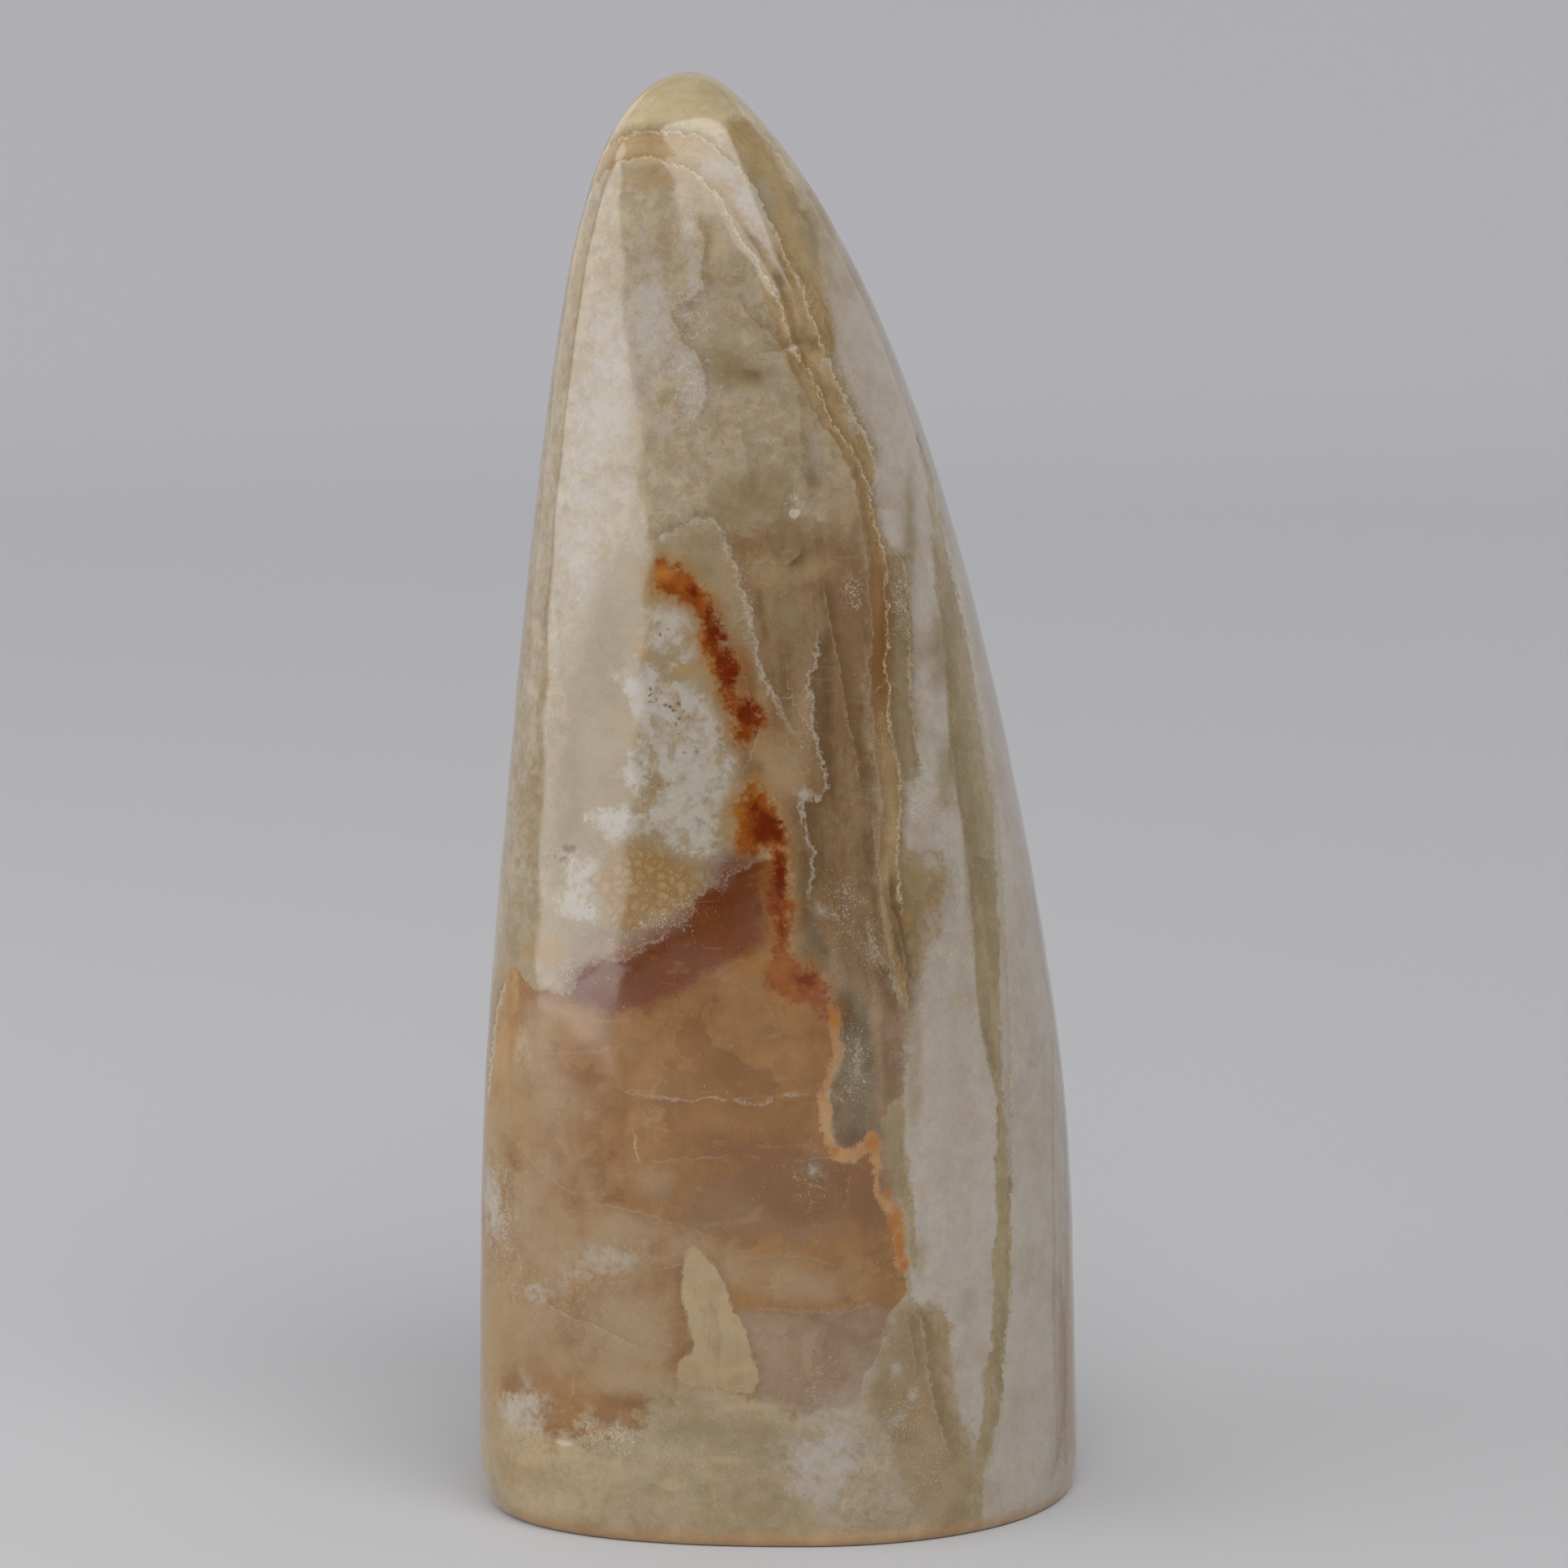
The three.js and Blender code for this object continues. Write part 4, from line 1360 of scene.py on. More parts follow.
DEEP_EDGES = (
    Vein(((4.3, 100), (4.6, 97.6), (5, 95.6), (5.5, 93.4), (5.9, 91.4), (6.3, 89), (6.7, 86.4),
          (7.1, 84), (7.8, 81.6), (8.2, 78)), 0.45, -0.7, Side.THROUGH),
    Vein(((9.3, 76.4), (9.6, 73), (9.9, 70), (10.2, 68)), 0.5, 0.3, Side.THROUGH),
    Vein(((9.6, 87.9), (10.2, 88.5), (10.9, 88.9)), 0.6, 0.3),
    Vein(((9, 63), (9.6, 61.2), (10.4, 59.4)), 0.9, 0.1),
    Vein(((11.3, 59.6), (11.9, 57.4), (12.5, 55.4)), 0.9, 0.1),
    Vein(((-1.6, 89.3), (-0.8, 87.8), (0.4, 86.2), (1.4, 84.4), (1.8, 83)), 0.5, 0.15),
    Vein(((-2, 85.4), (-2.6, 82.8), (-4, 80.2)), 0.5, 0.2),
    Vein(((1.4, 120), (1.8, 118), (2, 116), (2, 114), (2.1, 112), (1.7, 109)), 0.45, -0.2),
    Vein(((0.2, 101.2), (1.2, 101.5), (1.9, 102.2), (2.1, 103.2)), 0.2, 1.0),
    Vein(((11.2, 70.2), (11, 67.6), (11.9, 64.6), (12.6, 61.6), (13, 58),
          (13.1, 55)), 0.3, -0.8, Side.THROUGH),
    Vein(((-4.6, 116.6), (-3.4, 112), (-3.2, 108)), 0.2, -0.25),
    Vein(((-8.4, 136.5), (-8.4, 134.6), (-7.6, 133), (-8.1, 130.8), (-7.9, 129), (-9, 127.8),
          (-10.6, 126.8), (-11, 125.6), (-10.2, 124.8), (-9.9, 123.2), (-8.5, 122.2), (-7.7, 119.8),
          (-7.8, 116.8), (-9.3, 115.2)), 0.45, -0.4),
    Vein(((-2.6, 122), (-0.2, 122.3), (1.8, 122.8), (3.7, 123.4)), 0.5, -0.5),
    Vein(((-2.6, 99.5), (-2.4, 101.4), (-0.8, 101.4), (-0.8, 100.2), (-2, 99.8)), 0.4, 0.2),
    Vein(((15.6, 103), (16.6, 94), (17.3, 84), (18.5, 75), (19.7, 65), (20.6, 54),
          (22, 47)), 0.3, -0.3, Side.THROUGH),
    Vein(((18.4, 84.8), (19.4, 84.2), (20.6, 83.9)), 0.4, 0.2),
    Vein(((19.2, 70.9), (20.6, 70.3), (21.8, 69.9), (23, 69.4)), 0.5, 0.3),
    Vein(((12.1, 72.4), (14.2, 71), (15.6, 71.5), (16.6, 69.7), (17.6, 68.6), (17, 66.3),
          (15.5, 64.3)), 0.45, -0.15),
    Vein(((29.6, 26), (30.3, 18), (30.5, 11), (29.7, 6), (28.4, 2)), 0.5, 0.4),
)
CRUST_EDGE = (
    Vein(((-26.1, 57.6), (-25.2, 57), (-23.8, 57.2), (-22.6, 57.1), (-21.4, 57.3), (-21, 58.5),
          (-20.1, 59.4), (-18.7, 60.2), (-17.9, 61.4), (-16.7, 61), (-15.3, 61.3), (-14.6, 62),
          (-13.4, 62.9), (-12.4, 63.4), (-11.4, 64.3), (-10, 64.9), (-9.2, 66), (-8.8, 67.2),
          (-7.6, 68.4), (-7, 69.2), (-5.6, 68.6), (-4.8, 70.2), (-3, 71.1),
          (-1.6, 71.6)), 0.5, 0.6, Side.THROUGH),
)
CALCITE_SEAMS = (
    Vein(((-17, 48.2), (-15.2, 47.3), (-13, 47.1), (-9, 46.8), (-7.5, 47.2), (-5, 47), (-3.5, 46.7),
          (-2, 46.5), (-1, 46.9), (0.5, 47.4), (2.4, 47.6), (4.2, 47.5)), 0.6, 0.3),
    Vein(((-14.6, 40.2), (-12, 40.5), (-10, 40.8), (-7, 41.1), (-4.2, 41.3)), 0.35, -0.25),
    Vein(((-4.6, 25.1), (-1, 25.2), (2.6, 25), (5.4, 24.8), (8, 25.3), (10.6, 25.4)), 0.3, 0.25),
    Vein(((-5, 30.4), (-1, 30.8), (3, 30.6), (6.4, 29.6)), 0.3, 0.1),
    Vein(((-25.4, 25), (-23.4, 24.2), (-22, 23.6), (-20, 23), (-18.5, 22.7), (-17.5, 22), (-15.2, 21.2),
          (-13, 20)), 0.7, -0.2),
    Vein(((11.3, 24), (11.6, 23.1), (10.6, 21.6), (10.1, 20), (9.6, 19.2), (8.6, 17.9), (8.3, 16),
          (8.1, 15.3)), 0.55, 0.2),
    Vein(((-14.9, 43.8), (-14.8, 42.4), (-14.7, 41), (-14.3, 39.4)), 0.9),
    Vein(((-10.1, 127.5), (-8.8, 127.4), (-7.5, 127.5)), 0.7, 0.4),
    Vein(((8.3, 54), (7.9, 52.4), (7.9, 50.6), (8.1, 49)), 0.6),
    Vein(((5.2, 47.6), (6, 47.1), (6.9, 46.6), (7.6, 46.2)), 0.5),
    Vein(((7.4, 39.4), (6.9, 37.9), (7, 36.2)), 0.4, 0.5),
    Vein(((-21.2, 18.4), (-21.3, 16.6), (-21.6, 14.4)), 0.5),
    Vein(((-22.4, 10.4), (-21.4, 11.3), (-20.4, 12.1)), 0.6, 0.5),
    Vein(((-17.1, 9.6), (-16.7, 8.6), (-16.3, 7.2)), 0.6),
    Vein(((8.5, 107), (10.5, 106.3), (12.6, 106.2)), 0.5, -0.2),
    Vein(((25.2, 49), (26, 47.6), (27.4, 47.3)), 0.4, -0.2),
    Vein(((16.4, 47), (17, 45.4), (17.8, 43.8)), 0.35),
    Vein(((-30.2, 42.5), (-27.5, 41), (-24.5, 38.2), (-21, 36.5), (-17, 37)), 0.3, 0.15),
    Vein(((-1, 87.4), (2.4, 88.2)), 0.5),
    Vein(((1.1, 40.6), (4.4, 41), (8.5, 40.2)), 0.35),
    Vein(((0.4, 40.2), (2.6, 38.6), (5.3, 37.4)), 0.4),
    Vein(((-19.7, 35.8), (-13.4, 34.8), (-6.3, 32.6)), 0.3),
    Vein(((-14.1, 28.9), (-10.5, 29.7), (-7.6, 29.8)), 0.35),
    Vein(((-25.7, 51.6), (-21, 51.1), (-15.2, 52.4)), 0.25),
    Vein(((14.2, 92), (15.4, 91), (16.2, 88.6)), 0.4),
    Vein(((24, 92), (25.4, 89), (26, 86)), 0.3),
    Vein(((17.6, 58), (19.4, 56.4), (20, 53)), 0.35),
    Vein(((15.4, 34), (17.4, 32.2), (20.4, 31.8)), 0.3),
    Vein(((-38, 31), (-33, 32.4), (-27, 31.8), (-21, 33), (-15, 32.2),
          (-9, 33.6)), 0.6, 0.3, Side.BACK),
    Vein(((-24, 50), (-17, 48.6), (-10, 49.4), (-3, 47.6), (3, 48.2)), 0.5, -0.2, Side.BACK),
    Vein(((-33, 24), (-27, 21.6), (-22, 21)), 0.45, 0, Side.BACK),
    Vein(((-26, 122), (-23.4, 110), (-24, 98), (-22.6, 88), (-23, 76)), 0.4, 0.3, Side.BACK),
    Vein(((-16, 116), (-10, 112.6), (-4, 113.4)), 0.35, 0.1, Side.BACK),
    Vein(((-31, 72), (-26, 70), (-21, 71.4)), 0.35, 0, Side.BACK),
)
FLANK_LINES = (
    Vein(((28.9, 52), (28.7, 46), (28.6, 38), (28.8, 30), (28.8, 20), (29.2, 10), (29.6, 2)), 0.35),
    Vein(((26.4, 66), (27.9, 56), (29.6, 46), (30.3, 34), (30.3, 22), (30.2, 12), (30.4, 2)), 0.4, 0.2),
)

RUST_HEART = spots(
    (-6.8, 94.6, 0.9, 2.6, 0.85, 10), (-5.8, 92.2, 0.8, 2, 0.8), (-5, 90.2, 0.8, 1.4, 0.8),
    (-3.4, 86.2, 1.2, 1.5), (-8.6, 98.4, 1.2, 0.9, 0.5), (-1.2, 74.4, 1.5, 1.7),
    (-2.4, 76.6, 0.9, 0.9, 0.6), (0, 69.6, 0.7, 2.6, 0.95), (0.2, 64.8, 0.6, 1.6, 0.6),
    (2.6, 59.2, 1.4, 0.8, 0.5, -30),
)
RUST_GLINT = spots(
    (5.5, 41.8, 0.7, 0.8, 0.9), (9.4, 42.4, 0.8, 0.7, 0.9), (11.8, 34.4, 0.8, 1.4, 0.9),
    (12.2, 31.4, 0.6, 1.8, 0.9), (12.7, 29.2, 0.5, 0.8, 0.9), (5.6, 55.4, 0.7, 1, 0.8),
    (-12, 100.2, 1.4, 0.9, 0.8), (-4.4, 76, 1.6, 1.2, 0.6), (-2.4, 60.6, 3, 1, 0.45, -20),
    (-5, 62.5, 2.4, 1.2, 0.25), (11, 37, 0.6, 1, 0.6),
)
DUSK_HAZE = spots(
    (-5.6, 120.6, 4.4, 2.6, 0.7), (-1.4, 108, 3.6, 3.6, 0.75), (1.6, 103.6, 3, 3, 0.5),
    (-6, 126, 2, 3.4, 0.35), (3, 113, 1.4, 3, 0.4), (-8, 100.4, 2.4, 1.4, 0.5),
    (-12, 132.6, 2.4, 2.4, 0.3), (-4.4, 131, 2, 2.4, 0.2), (14.6, 91, 1.6, 4, 0.4),
    (12.6, 66, 1.4, 6, 0.3), (-17, 13, 5, 1.2, 0.5), (-25.5, 12, 3, 1, 0.4), (-21.5, 76, 2.6, 13, 0.5),
    (-13.3, 113.5, 2, 3, 0.4),
)
WINE_HAZE = spots(
    (-18.6, 57.6, 3, 2.4, 0.8), (-13.6, 60, 3.4, 2.6, 0.8), (-9, 62.6, 3.4, 3.4, 0.7),
    (-4.6, 67, 3, 4, 0.6), (-2.4, 68, 2, 4, 0.5),
)
RUSSET_HAZE = spots(
    (-3.7, 90, 1.3, 4, 0.85, 12), (-0.4, 85.2, 1.8, 1.5, 0.5), (-2.4, 80.4, 1, 1.5, 0.6),
    (-6.8, 97, 1.6, 2, 0.6), (0.6, 76.4, 1.1, 1.8, 0.6), (-1.4, 64, 1.4, 3, 0.5),
    (-0.8, 60.4, 3, 2, 0.5), (10.3, 92.6, 1.5, 6.5), (10, 99, 1.2, 2.4, 0.5), (11.4, 66.6, 0.8, 4, 0.5),
    (6.8, 88, 1.2, 6, 0.25), (9.6, 67, 0.8, 2.4, 0.4), (8, 83, 0.9, 3, 0.4), (-4, 42, 7, 2.2, 0.7),
    (0.6, 37.4, 4.6, 3, 0.85), (8, 38, 3, 4, 0.6), (-3, 40, 3, 2, 0.5), (-0.5, 53.6, 3, 2, 0.5),
    (6, 48, 2, 5, 0.4), (3, 36, 3, 2, 0.6), (31.2, 13, 0.9, 11, 0.8), (-30.2, 40, 1.2, 12, 0.5),
    (-30.4, 22, 1.4, 9, 0.4), (9.6, 36, 1.8, 5, 0.8),
) + spots(
    (-18, 34, 7, 3, 0.6), (-34, 24, 5, 3, 0.5), (0, 42, 4, 5, 0.5), (-24, 48, 5, 3, 0.5),
    (-11.6, 88, 1.4, 6, 0.4), side=Side.BACK,
)
SPARKLE = spots(
    (-9.4, 126, 2.6, 4, 0.8), (-8.8, 119, 2.4, 4, 0.8), (-13, 120, 3, 6, 0.4), (-10, 134, 2, 3, 0.4),
    (7.2, 98.4, 1.4, 2.6, 0.9), (1.3, 107.2, 1, 1.4, 0.9), (12.2, 96.5, 0.9, 4, 0.95),
    (10.6, 104, 1.6, 4, 0.5), (7.4, 117, 1.4, 5, 0.9, 20), (4.4, 121.6, 1.2, 1.2, 0.7),
    (-3.4, 97.8, 1, 4, 0.7), (3, 84.6, 1.2, 5, 0.6), (6.4, 66.4, 2.2, 4, 0.7), (7.4, 50.6, 2.2, 6, 0.7),
    (10, 83, 0.7, 5, 0.5), (15, 76.4, 2.4, 3, 0.9), (9.6, 62, 1.6, 4, 0.7),
    (-12, 65.4, 7, 2.4, 0.6, 32), (-21, 59.6, 3, 2, 0.6), (-12, 79, 5, 8, 0.4), (14, 36, 2, 9, 0.5),
    (4, 17, 4, 4, 0.4), (12.6, 14.6, 2.4, 4, 0.6), (-18, 11, 5, 1.8, 0.9), (-7, 18, 2.6, 1.4, 0.8),
    (-28.6, 33, 2, 8, 0.7), (-22, 25, 7, 3.4, 0.4), (2.6, 38, 2.6, 2.6, 0.6), (-10, 9, 10, 5, 0.35),
    (20, 70, 3, 30, 0.3), (16, 8, 3, 6, 0.5), (16.5, 60, 2.6, 8, 0.5), (17, 100, 3, 8, 0.4),
) + spots(
    (-22, 60, 8, 4, 0.6), (-10, 102, 5, 10, 0.4), (-30, 14, 8, 3, 0.5), (-26, 30, 6, 3, 0.4),
    side=Side.BACK,
)
BLADE_FACETS = (
    Vein(((-7.4, 27.4), (-6.4, 24.6), (-6, 22), (-6.2, 19)), 0.35, 0.3),
    Vein(((-8.9, 31.7), (-9.9, 29.6), (-10.1, 26.8), (-9.6, 24.4), (-9.1, 22.6), (-8.9, 21),
          (-10.2, 19.8), (-10.5, 18.2)), 0.3, 0.45),
    Vein(((-8, 31.2), (-6.4, 29.2), (-5.4, 27), (-4.8, 25), (-3.8, 23.8), (-3.3, 21.8), (-2.6, 19.4),
          (-2.5, 17)), 0.45, -0.35),
)

PITS = spots(
    (1.4, 107, 0.7, 0.8), (14.2, 79, 0.9, 0.6, 0.9), (15.5, 78.3, 0.6, 0.9, 0.7),
    (16.2, 71.4, 0.8, 1, 0.9), (-4.4, 17.2, 0.9, 0.5), (-21.6, 71.3, 0.6, 0.5, 0.7),
    (11.2, 93.4, 0.5, 0.8, 0.5), (-16.8, 9.4, 0.5, 1.1, 0.7), (-22.4, 10.6, 1.2, 0.5, 0.7),
    (0.6, 101.8, 1.2, 0.5, 0.6, 20), (8.6, 110.4, 0.5, 0.9, 0.5), (27, 56, 0.7, 1, 0.6),
) + spots(
    (-6, 62, 0.9, 0.7, 0.8), (9, 96, 0.7, 1.2, 0.8), (14, 30, 1.2, 0.7, 0.8), (-14, 24, 0.8, 0.8, 0.8),
    side=Side.BACK,
)

# They are laid in this order, each over those before it.
LAYERS: tuple[Zone | Haze | Glitter | VeinFamily, ...] = (
    Zone("flank_cream", FLANK_CREAM, (0.23, 0.168, 0.092), (0.29, 0.225, 0.14), Weave.CLOUDY,
         edge=4.0, fray=1.6, cover=0.85),
    Zone("crust", CRUST, (0.185, 0.115, 0.08), (0.28, 0.205, 0.15), Weave.CRYSTAL,
         edge=1.8, fray=0.8),
    Zone("cap", CAP, (0.465, 0.365, 0.22), (0.56, 0.475, 0.345), Weave.CRYSTAL,
         edge=1.2, fray=0.5),
    Zone("mid_layers", MID_LAYERS, (0.17, 0.098, 0.045), (0.265, 0.172, 0.1), Weave.BANDED,
         edge=2.4, fray=0.7),
    Zone("spar_top", SPAR_TOP, (0.37, 0.305, 0.24), (0.44, 0.39, 0.34), Weave.CRYSTAL,
         edge=9.0, fray=2.0),
    Zone("lilac_spar", LILAC_SPAR, (0.38, 0.315, 0.255), (0.45, 0.4, 0.355), Weave.CRYSTAL,
         edge=0.9, fray=0.8),
    Zone("tan_layers", TAN_LAYERS, (0.265, 0.165, 0.072), (0.41, 0.3, 0.175), Weave.BANDED,
         edge=0.25, fray=0.3),
    Zone("brown_band", BROWN_BAND, (0.24, 0.14, 0.058), (0.37, 0.25, 0.135), Weave.BANDED,
         edge=0.3, fray=0.3),
    Zone("dark_strip", DARK_STRIP, (0.2, 0.14, 0.075), (0.3, 0.225, 0.14), Weave.BANDED,
         edge=0.4, fray=0.4, cover=0.9),
    Zone("smoke", SMOKE_DEPTH, (0.12, 0.084, 0.042), (0.21, 0.158, 0.095), Weave.CRYSTAL,
         edge=0.9, fray=0.7, cover=0.95),
    Zone("amber", AMBER_CALCITE, (0.19, 0.079, 0.018), (0.3, 0.15, 0.048), Weave.PLATES,
         edge=0.25, fray=0.4),
    Zone("wine", WINE_SHADE, (0.115, 0.026, 0.006), (0.17, 0.052, 0.016), Weave.CLOUDY,
         edge=2.4, fray=0.5, cover=0.95),
    Zone("cream_foot", CREAM_FOOT, (0.275, 0.2, 0.11), (0.37, 0.29, 0.185), Weave.CRYSTAL,
         edge=3.2, fray=2.0),
    Zone("honey_foot", HONEY_FOOT, (0.24, 0.16, 0.075), (0.33, 0.24, 0.14), Weave.CLOUDY,
         edge=1.6, fray=1.0),
    Zone("olive", OLIVE_BANDS, (0.245, 0.18, 0.08), (0.36, 0.288, 0.163), Weave.BANDED,
         edge=0.4, fray=0.35, cover=0.95),
    Zone("olive_cap", OLIVE_CAP, (0.31, 0.21, 0.09), (0.41, 0.3, 0.16), Weave.BANDED,
         edge=1.2, fray=0.5, cover=0.95),
    Haze("sand_haze", SAND_HAZE, (0.33, 0.225, 0.13)),
    Haze("rose_haze", ROSE_HAZE, (0.22, 0.128, 0.07)),
    Haze("olive_haze", OLIVE_HAZE, (0.25, 0.19, 0.105)),
    Haze("dusk_haze", DUSK_HAZE, (0.222, 0.158, 0.085)),
    Haze("wine_haze", WINE_HAZE, (0.135, 0.04, 0.011)),
    Haze("umber_haze", UMBER_HAZE, (0.12, 0.065, 0.028)),
    Haze("russet_haze", RUSSET_HAZE, (0.19, 0.082, 0.028)),
    Haze("honey_haze", HONEY_HAZE, (0.335, 0.21, 0.095)),
    Haze("frost", FROST, (0.39, 0.335, 0.275), broken=0.15, flaky=0.3),
    # Pale clouds, partly painted highlight where the polish mirrors the tall light and the overhead light,
    # partly the stone's own pale spar.
    Haze("pearl_and_highlight_haze", PEARL_AND_HIGHLIGHT_HAZE, (0.415, 0.369, 0.328), broken=0.15, flaky=0.2),
    # Warm clouds, mostly the stone's own tone, two of them painted highlight under the lights' reflections.
    Haze("wheat_and_highlight_haze", WHEAT_AND_HIGHLIGHT_HAZE, (0.44, 0.325, 0.195), broken=0.15, flaky=0.2),
    Zone("purple", PURPLE_SMOKE, (0.22, 0.137, 0.08), (0.33, 0.24, 0.168), Weave.PLATES,
         edge=1.2, fray=0.5, cover=0.8),
    Zone("milk", MILK_PATCH, (0.3, 0.232, 0.155), (0.395, 0.355, 0.31), Weave.CURDS,
         edge=1.6, fray=1.1),
    Zone("honey_net", HONEY_NET, (0.258, 0.15, 0.056), (0.335, 0.22, 0.103), Weave.CELLS,
         edge=2.6, fray=1.0, cover=0.95),
    Glitter("sparkle", SPARKLE, (0.58, 0.54, 0.48), cover=0.55),
    Zone("beige", BEIGE_BLADE, (0.33, 0.228, 0.125), (0.405, 0.302, 0.178), Weave.CLOUDY,
         edge=0.12, fray=0.25),
    Zone("left_rim", LEFT_RIM, (0.29, 0.145, 0.04), (0.39, 0.235, 0.09), Weave.BANDED,
         edge=0.8, fray=0.5),
    Zone("orange_rim", ORANGE_RIM, (0.36, 0.155, 0.04), (0.43, 0.26, 0.12), Weave.CLOUDY,
         edge=0.4, fray=0.5),
    Zone("rust_glow", RUST_STAIN, (0.255, 0.11, 0.03), (0.32, 0.175, 0.066), Weave.CLOUDY,
         edge=2.8, fray=0.9, cover=0.8, outset=0.9),
    Zone("rust", RUST_STAIN, (0.165, 0.029, 0.003), (0.29, 0.092, 0.014), Weave.CRYSTAL,
         edge=1.2, fray=0.9, outset=0.12),
    Haze("rust_glint", RUST_GLINT, (0.37, 0.135, 0.023), broken=0.2, flaky=0.15, soft=0.8),
    Haze("rust_heart", RUST_HEART, (0.125, 0.016, 0.002), broken=0.3, flaky=0.3, soft=0.8),
    VeinFamily("third_rim", THIRD_RIM, (0.4, 0.3, 0.185), width=0.14, ragged=0.2,
               shade_colour=(0.15, 0.085, 0.036), shade_reach=1.4),
    VeinFamily("deep_edges", DEEP_EDGES, (0.4, 0.32, 0.22), width=0.14, ragged=0.2,
               shade_colour=(0.12, 0.068, 0.03), shade_reach=2.2),
    VeinFamily("step_edges", STEP_EDGES, (0.42, 0.36, 0.29), width=0.36, ragged=0.36,
               shade_colour=(0.115, 0.065, 0.03), shade_reach=2.6),
    VeinFamily("blade_facets", BLADE_FACETS, (0.41, 0.32, 0.21), width=0.14, ragged=0.2,
               shade_colour=(0.17, 0.085, 0.035), shade_reach=1.6),
    VeinFamily("flank_lines", FLANK_LINES, (0.2, 0.12, 0.065), width=0.3, ragged=0.06,
               shade_colour=(0.24, 0.165, 0.1), shade_reach=0.8),
    VeinFamily("crust_edge", CRUST_EDGE, (0.35, 0.27, 0.22), width=0.3, ragged=0.4,
               shade_colour=(0.11, 0.03, 0.01), shade_reach=2.4),
    VeinFamily("calcite_seams", CALCITE_SEAMS, (0.4, 0.32, 0.24), width=0.14, ragged=0.2,
               shade_colour=(0.15, 0.068, 0.026), shade_reach=2.4),
    VeinFamily("second_rim", SECOND_RIM, (0.5, 0.41, 0.27), width=0.16, ragged=0.26,
               shade_colour=(0.19, 0.11, 0.042), shade_reach=1.3),
    VeinFamily("first_rim", FIRST_RIM, (0.5, 0.42, 0.29), width=0.18, ragged=0.26,
               shade_colour=(0.18, 0.115, 0.045), shade_reach=1.6),
    # Painted glow along the foot, where the stone sits on the floor.
    Zone("painted_foot_glow", PAINTED_FOOT_GLOW, (0.38, 0.2, 0.078), (0.48, 0.315, 0.165), Weave.CLOUDY,
         edge=1.0, fray=0.4, cover=0.7),
)


# ----- The stone -----

@dataclass(frozen=True)
class PolishedAragonite:
    """The finish of the whole stone: banded aragonite under a hand-rubbed polish."""

    core_deep: Colour = (0.298, 0.219, 0.13)
    core_pale: Colour = (0.376, 0.309, 0.228)
    warm: Colour = (0.97, 0.94, 0.85)
    cool: Colour = (0.93, 0.94, 0.94)
    freckle: Colour = (0.17, 0.1, 0.04)
    thread: Colour = (0.46, 0.39, 0.3)
    ior: float = 1.62
    smoothest: float = 0.06
    dullest: float = 0.14
    hollow_depth: float = 0.000008

    def build(self) -> bpy.types.Material:
        """Makes the material.

        Returns:
            The finished material.
        """
        material = bpy.data.materials.new("polished_aragonite")
        bench = NodeBench(material)
        grain = StoneGrain(bench)
        mixed = bench.blend_sum((grain.cloud[0], 0.3), (grain.blotch[0], 0.27), (grain.crystal[0], 0.43))
        colour = bench.mix(bench.step(mixed, 0.36, 0.64), self.core_deep, self.core_pale)
        flaky = bench.span(bench.step(grain.crystal[1], 0.4, 0.6), 0.9, 1.1)
        colour = bench.mix(1.0, colour, bench.grey(flaky), "MULTIPLY")
        for layer in LAYERS:
            colour = layer.lay(grain, colour)
        colour = self.lay_webs(grain, colour)
        colour = self.lay_freckles(grain, colour)
        colour = self.lay_mottle(grain, colour)
        shader = bench.node("ShaderNodeBsdfPrincipled")
        output = bench.node("ShaderNodeOutputMaterial")
        bench.feed(shader.inputs["Base Color"], colour)
        rough = bench.step(bench.blend_sum((grain.grain[2], 0.5), (grain.blotch[2], 0.5)), 0.3, 0.8)
        bench.feed(shader.inputs["Roughness"], bench.span(rough, self.smoothest, self.dullest))
        hollows = bench.blend_sum((grain.crystal[1], 0.5), (grain.grain[0], 0.3), (grain.speck[0], 0.2))
        bump = bench.node("ShaderNodeBump")
        bump.inputs["Distance"].default_value = self.hollow_depth
        bench.feed(bump.inputs["Height"], hollows)
        bench.feed(shader.inputs["Normal"], bump.outputs["Normal"])
        shader.inputs["IOR"].default_value = self.ior
        bench.feed(output.inputs["Surface"], shader.outputs[0])
        return material

    def lay_webs(self, grain: StoneGrain, colour: Socket) -> Socket:
        """Lays the faint pale threads of healed cracks.

        Args:
            grain: the stone's textures.
            colour: the colour so far.

        Returns:
            The colour with the threads on it.
        """
        bench = grain.bench
        shown = bench.step(bench.blend_sum((grain.blotch[1], 0.7), (grain.grain[0], 0.3)), 0.5, 0.64)
        cover = bench.math("MULTIPLY", bench.math("MULTIPLY", grain.web, shown), 0.12)
        return bench.mix(cover, colour, self.thread)

    def lay_freckles(self, grain: StoneGrain, colour: Socket) -> Socket:
        """Lays small brown specks in the milky patch.

        Args:
            grain: the stone's textures.
            colour: the colour so far.

        Returns:
            The colour with the specks on it.
        """
        bench = grain.bench
        density = bench.attribute("freckles").outputs["Fac"]
        dot = bench.step(grain.spots, 0.4, 0.2)
        cover = bench.math("MULTIPLY", dot, bench.step(density, 0.3, 0.7), clamp=True)
        return bench.mix(bench.math("MULTIPLY", cover, 0.85), colour, self.freckle)

    def lay_mottle(self, grain: StoneGrain, colour: Socket) -> Socket:
        """Gives the whole stone its finest mottle, between a warm tint and a cool one.

        Args:
            grain: the stone's textures.
            colour: the colour so far.

        Returns:
            The mottled colour.
        """
        bench = grain.bench
        tint = bench.mix(bench.step(grain.crystal[2], 0.36, 0.64), self.warm, self.cool)
        colour = bench.mix(1.0, colour, tint, "MULTIPLY")
        colour = bench.mix(1.0, colour, bench.grey(bench.span(grain.grain[2], 0.9, 1.1)), "MULTIPLY")
        return bench.mix(1.0, colour, bench.grey(bench.span(grain.speck[1], 0.88, 1.12)), "MULTIPLY")


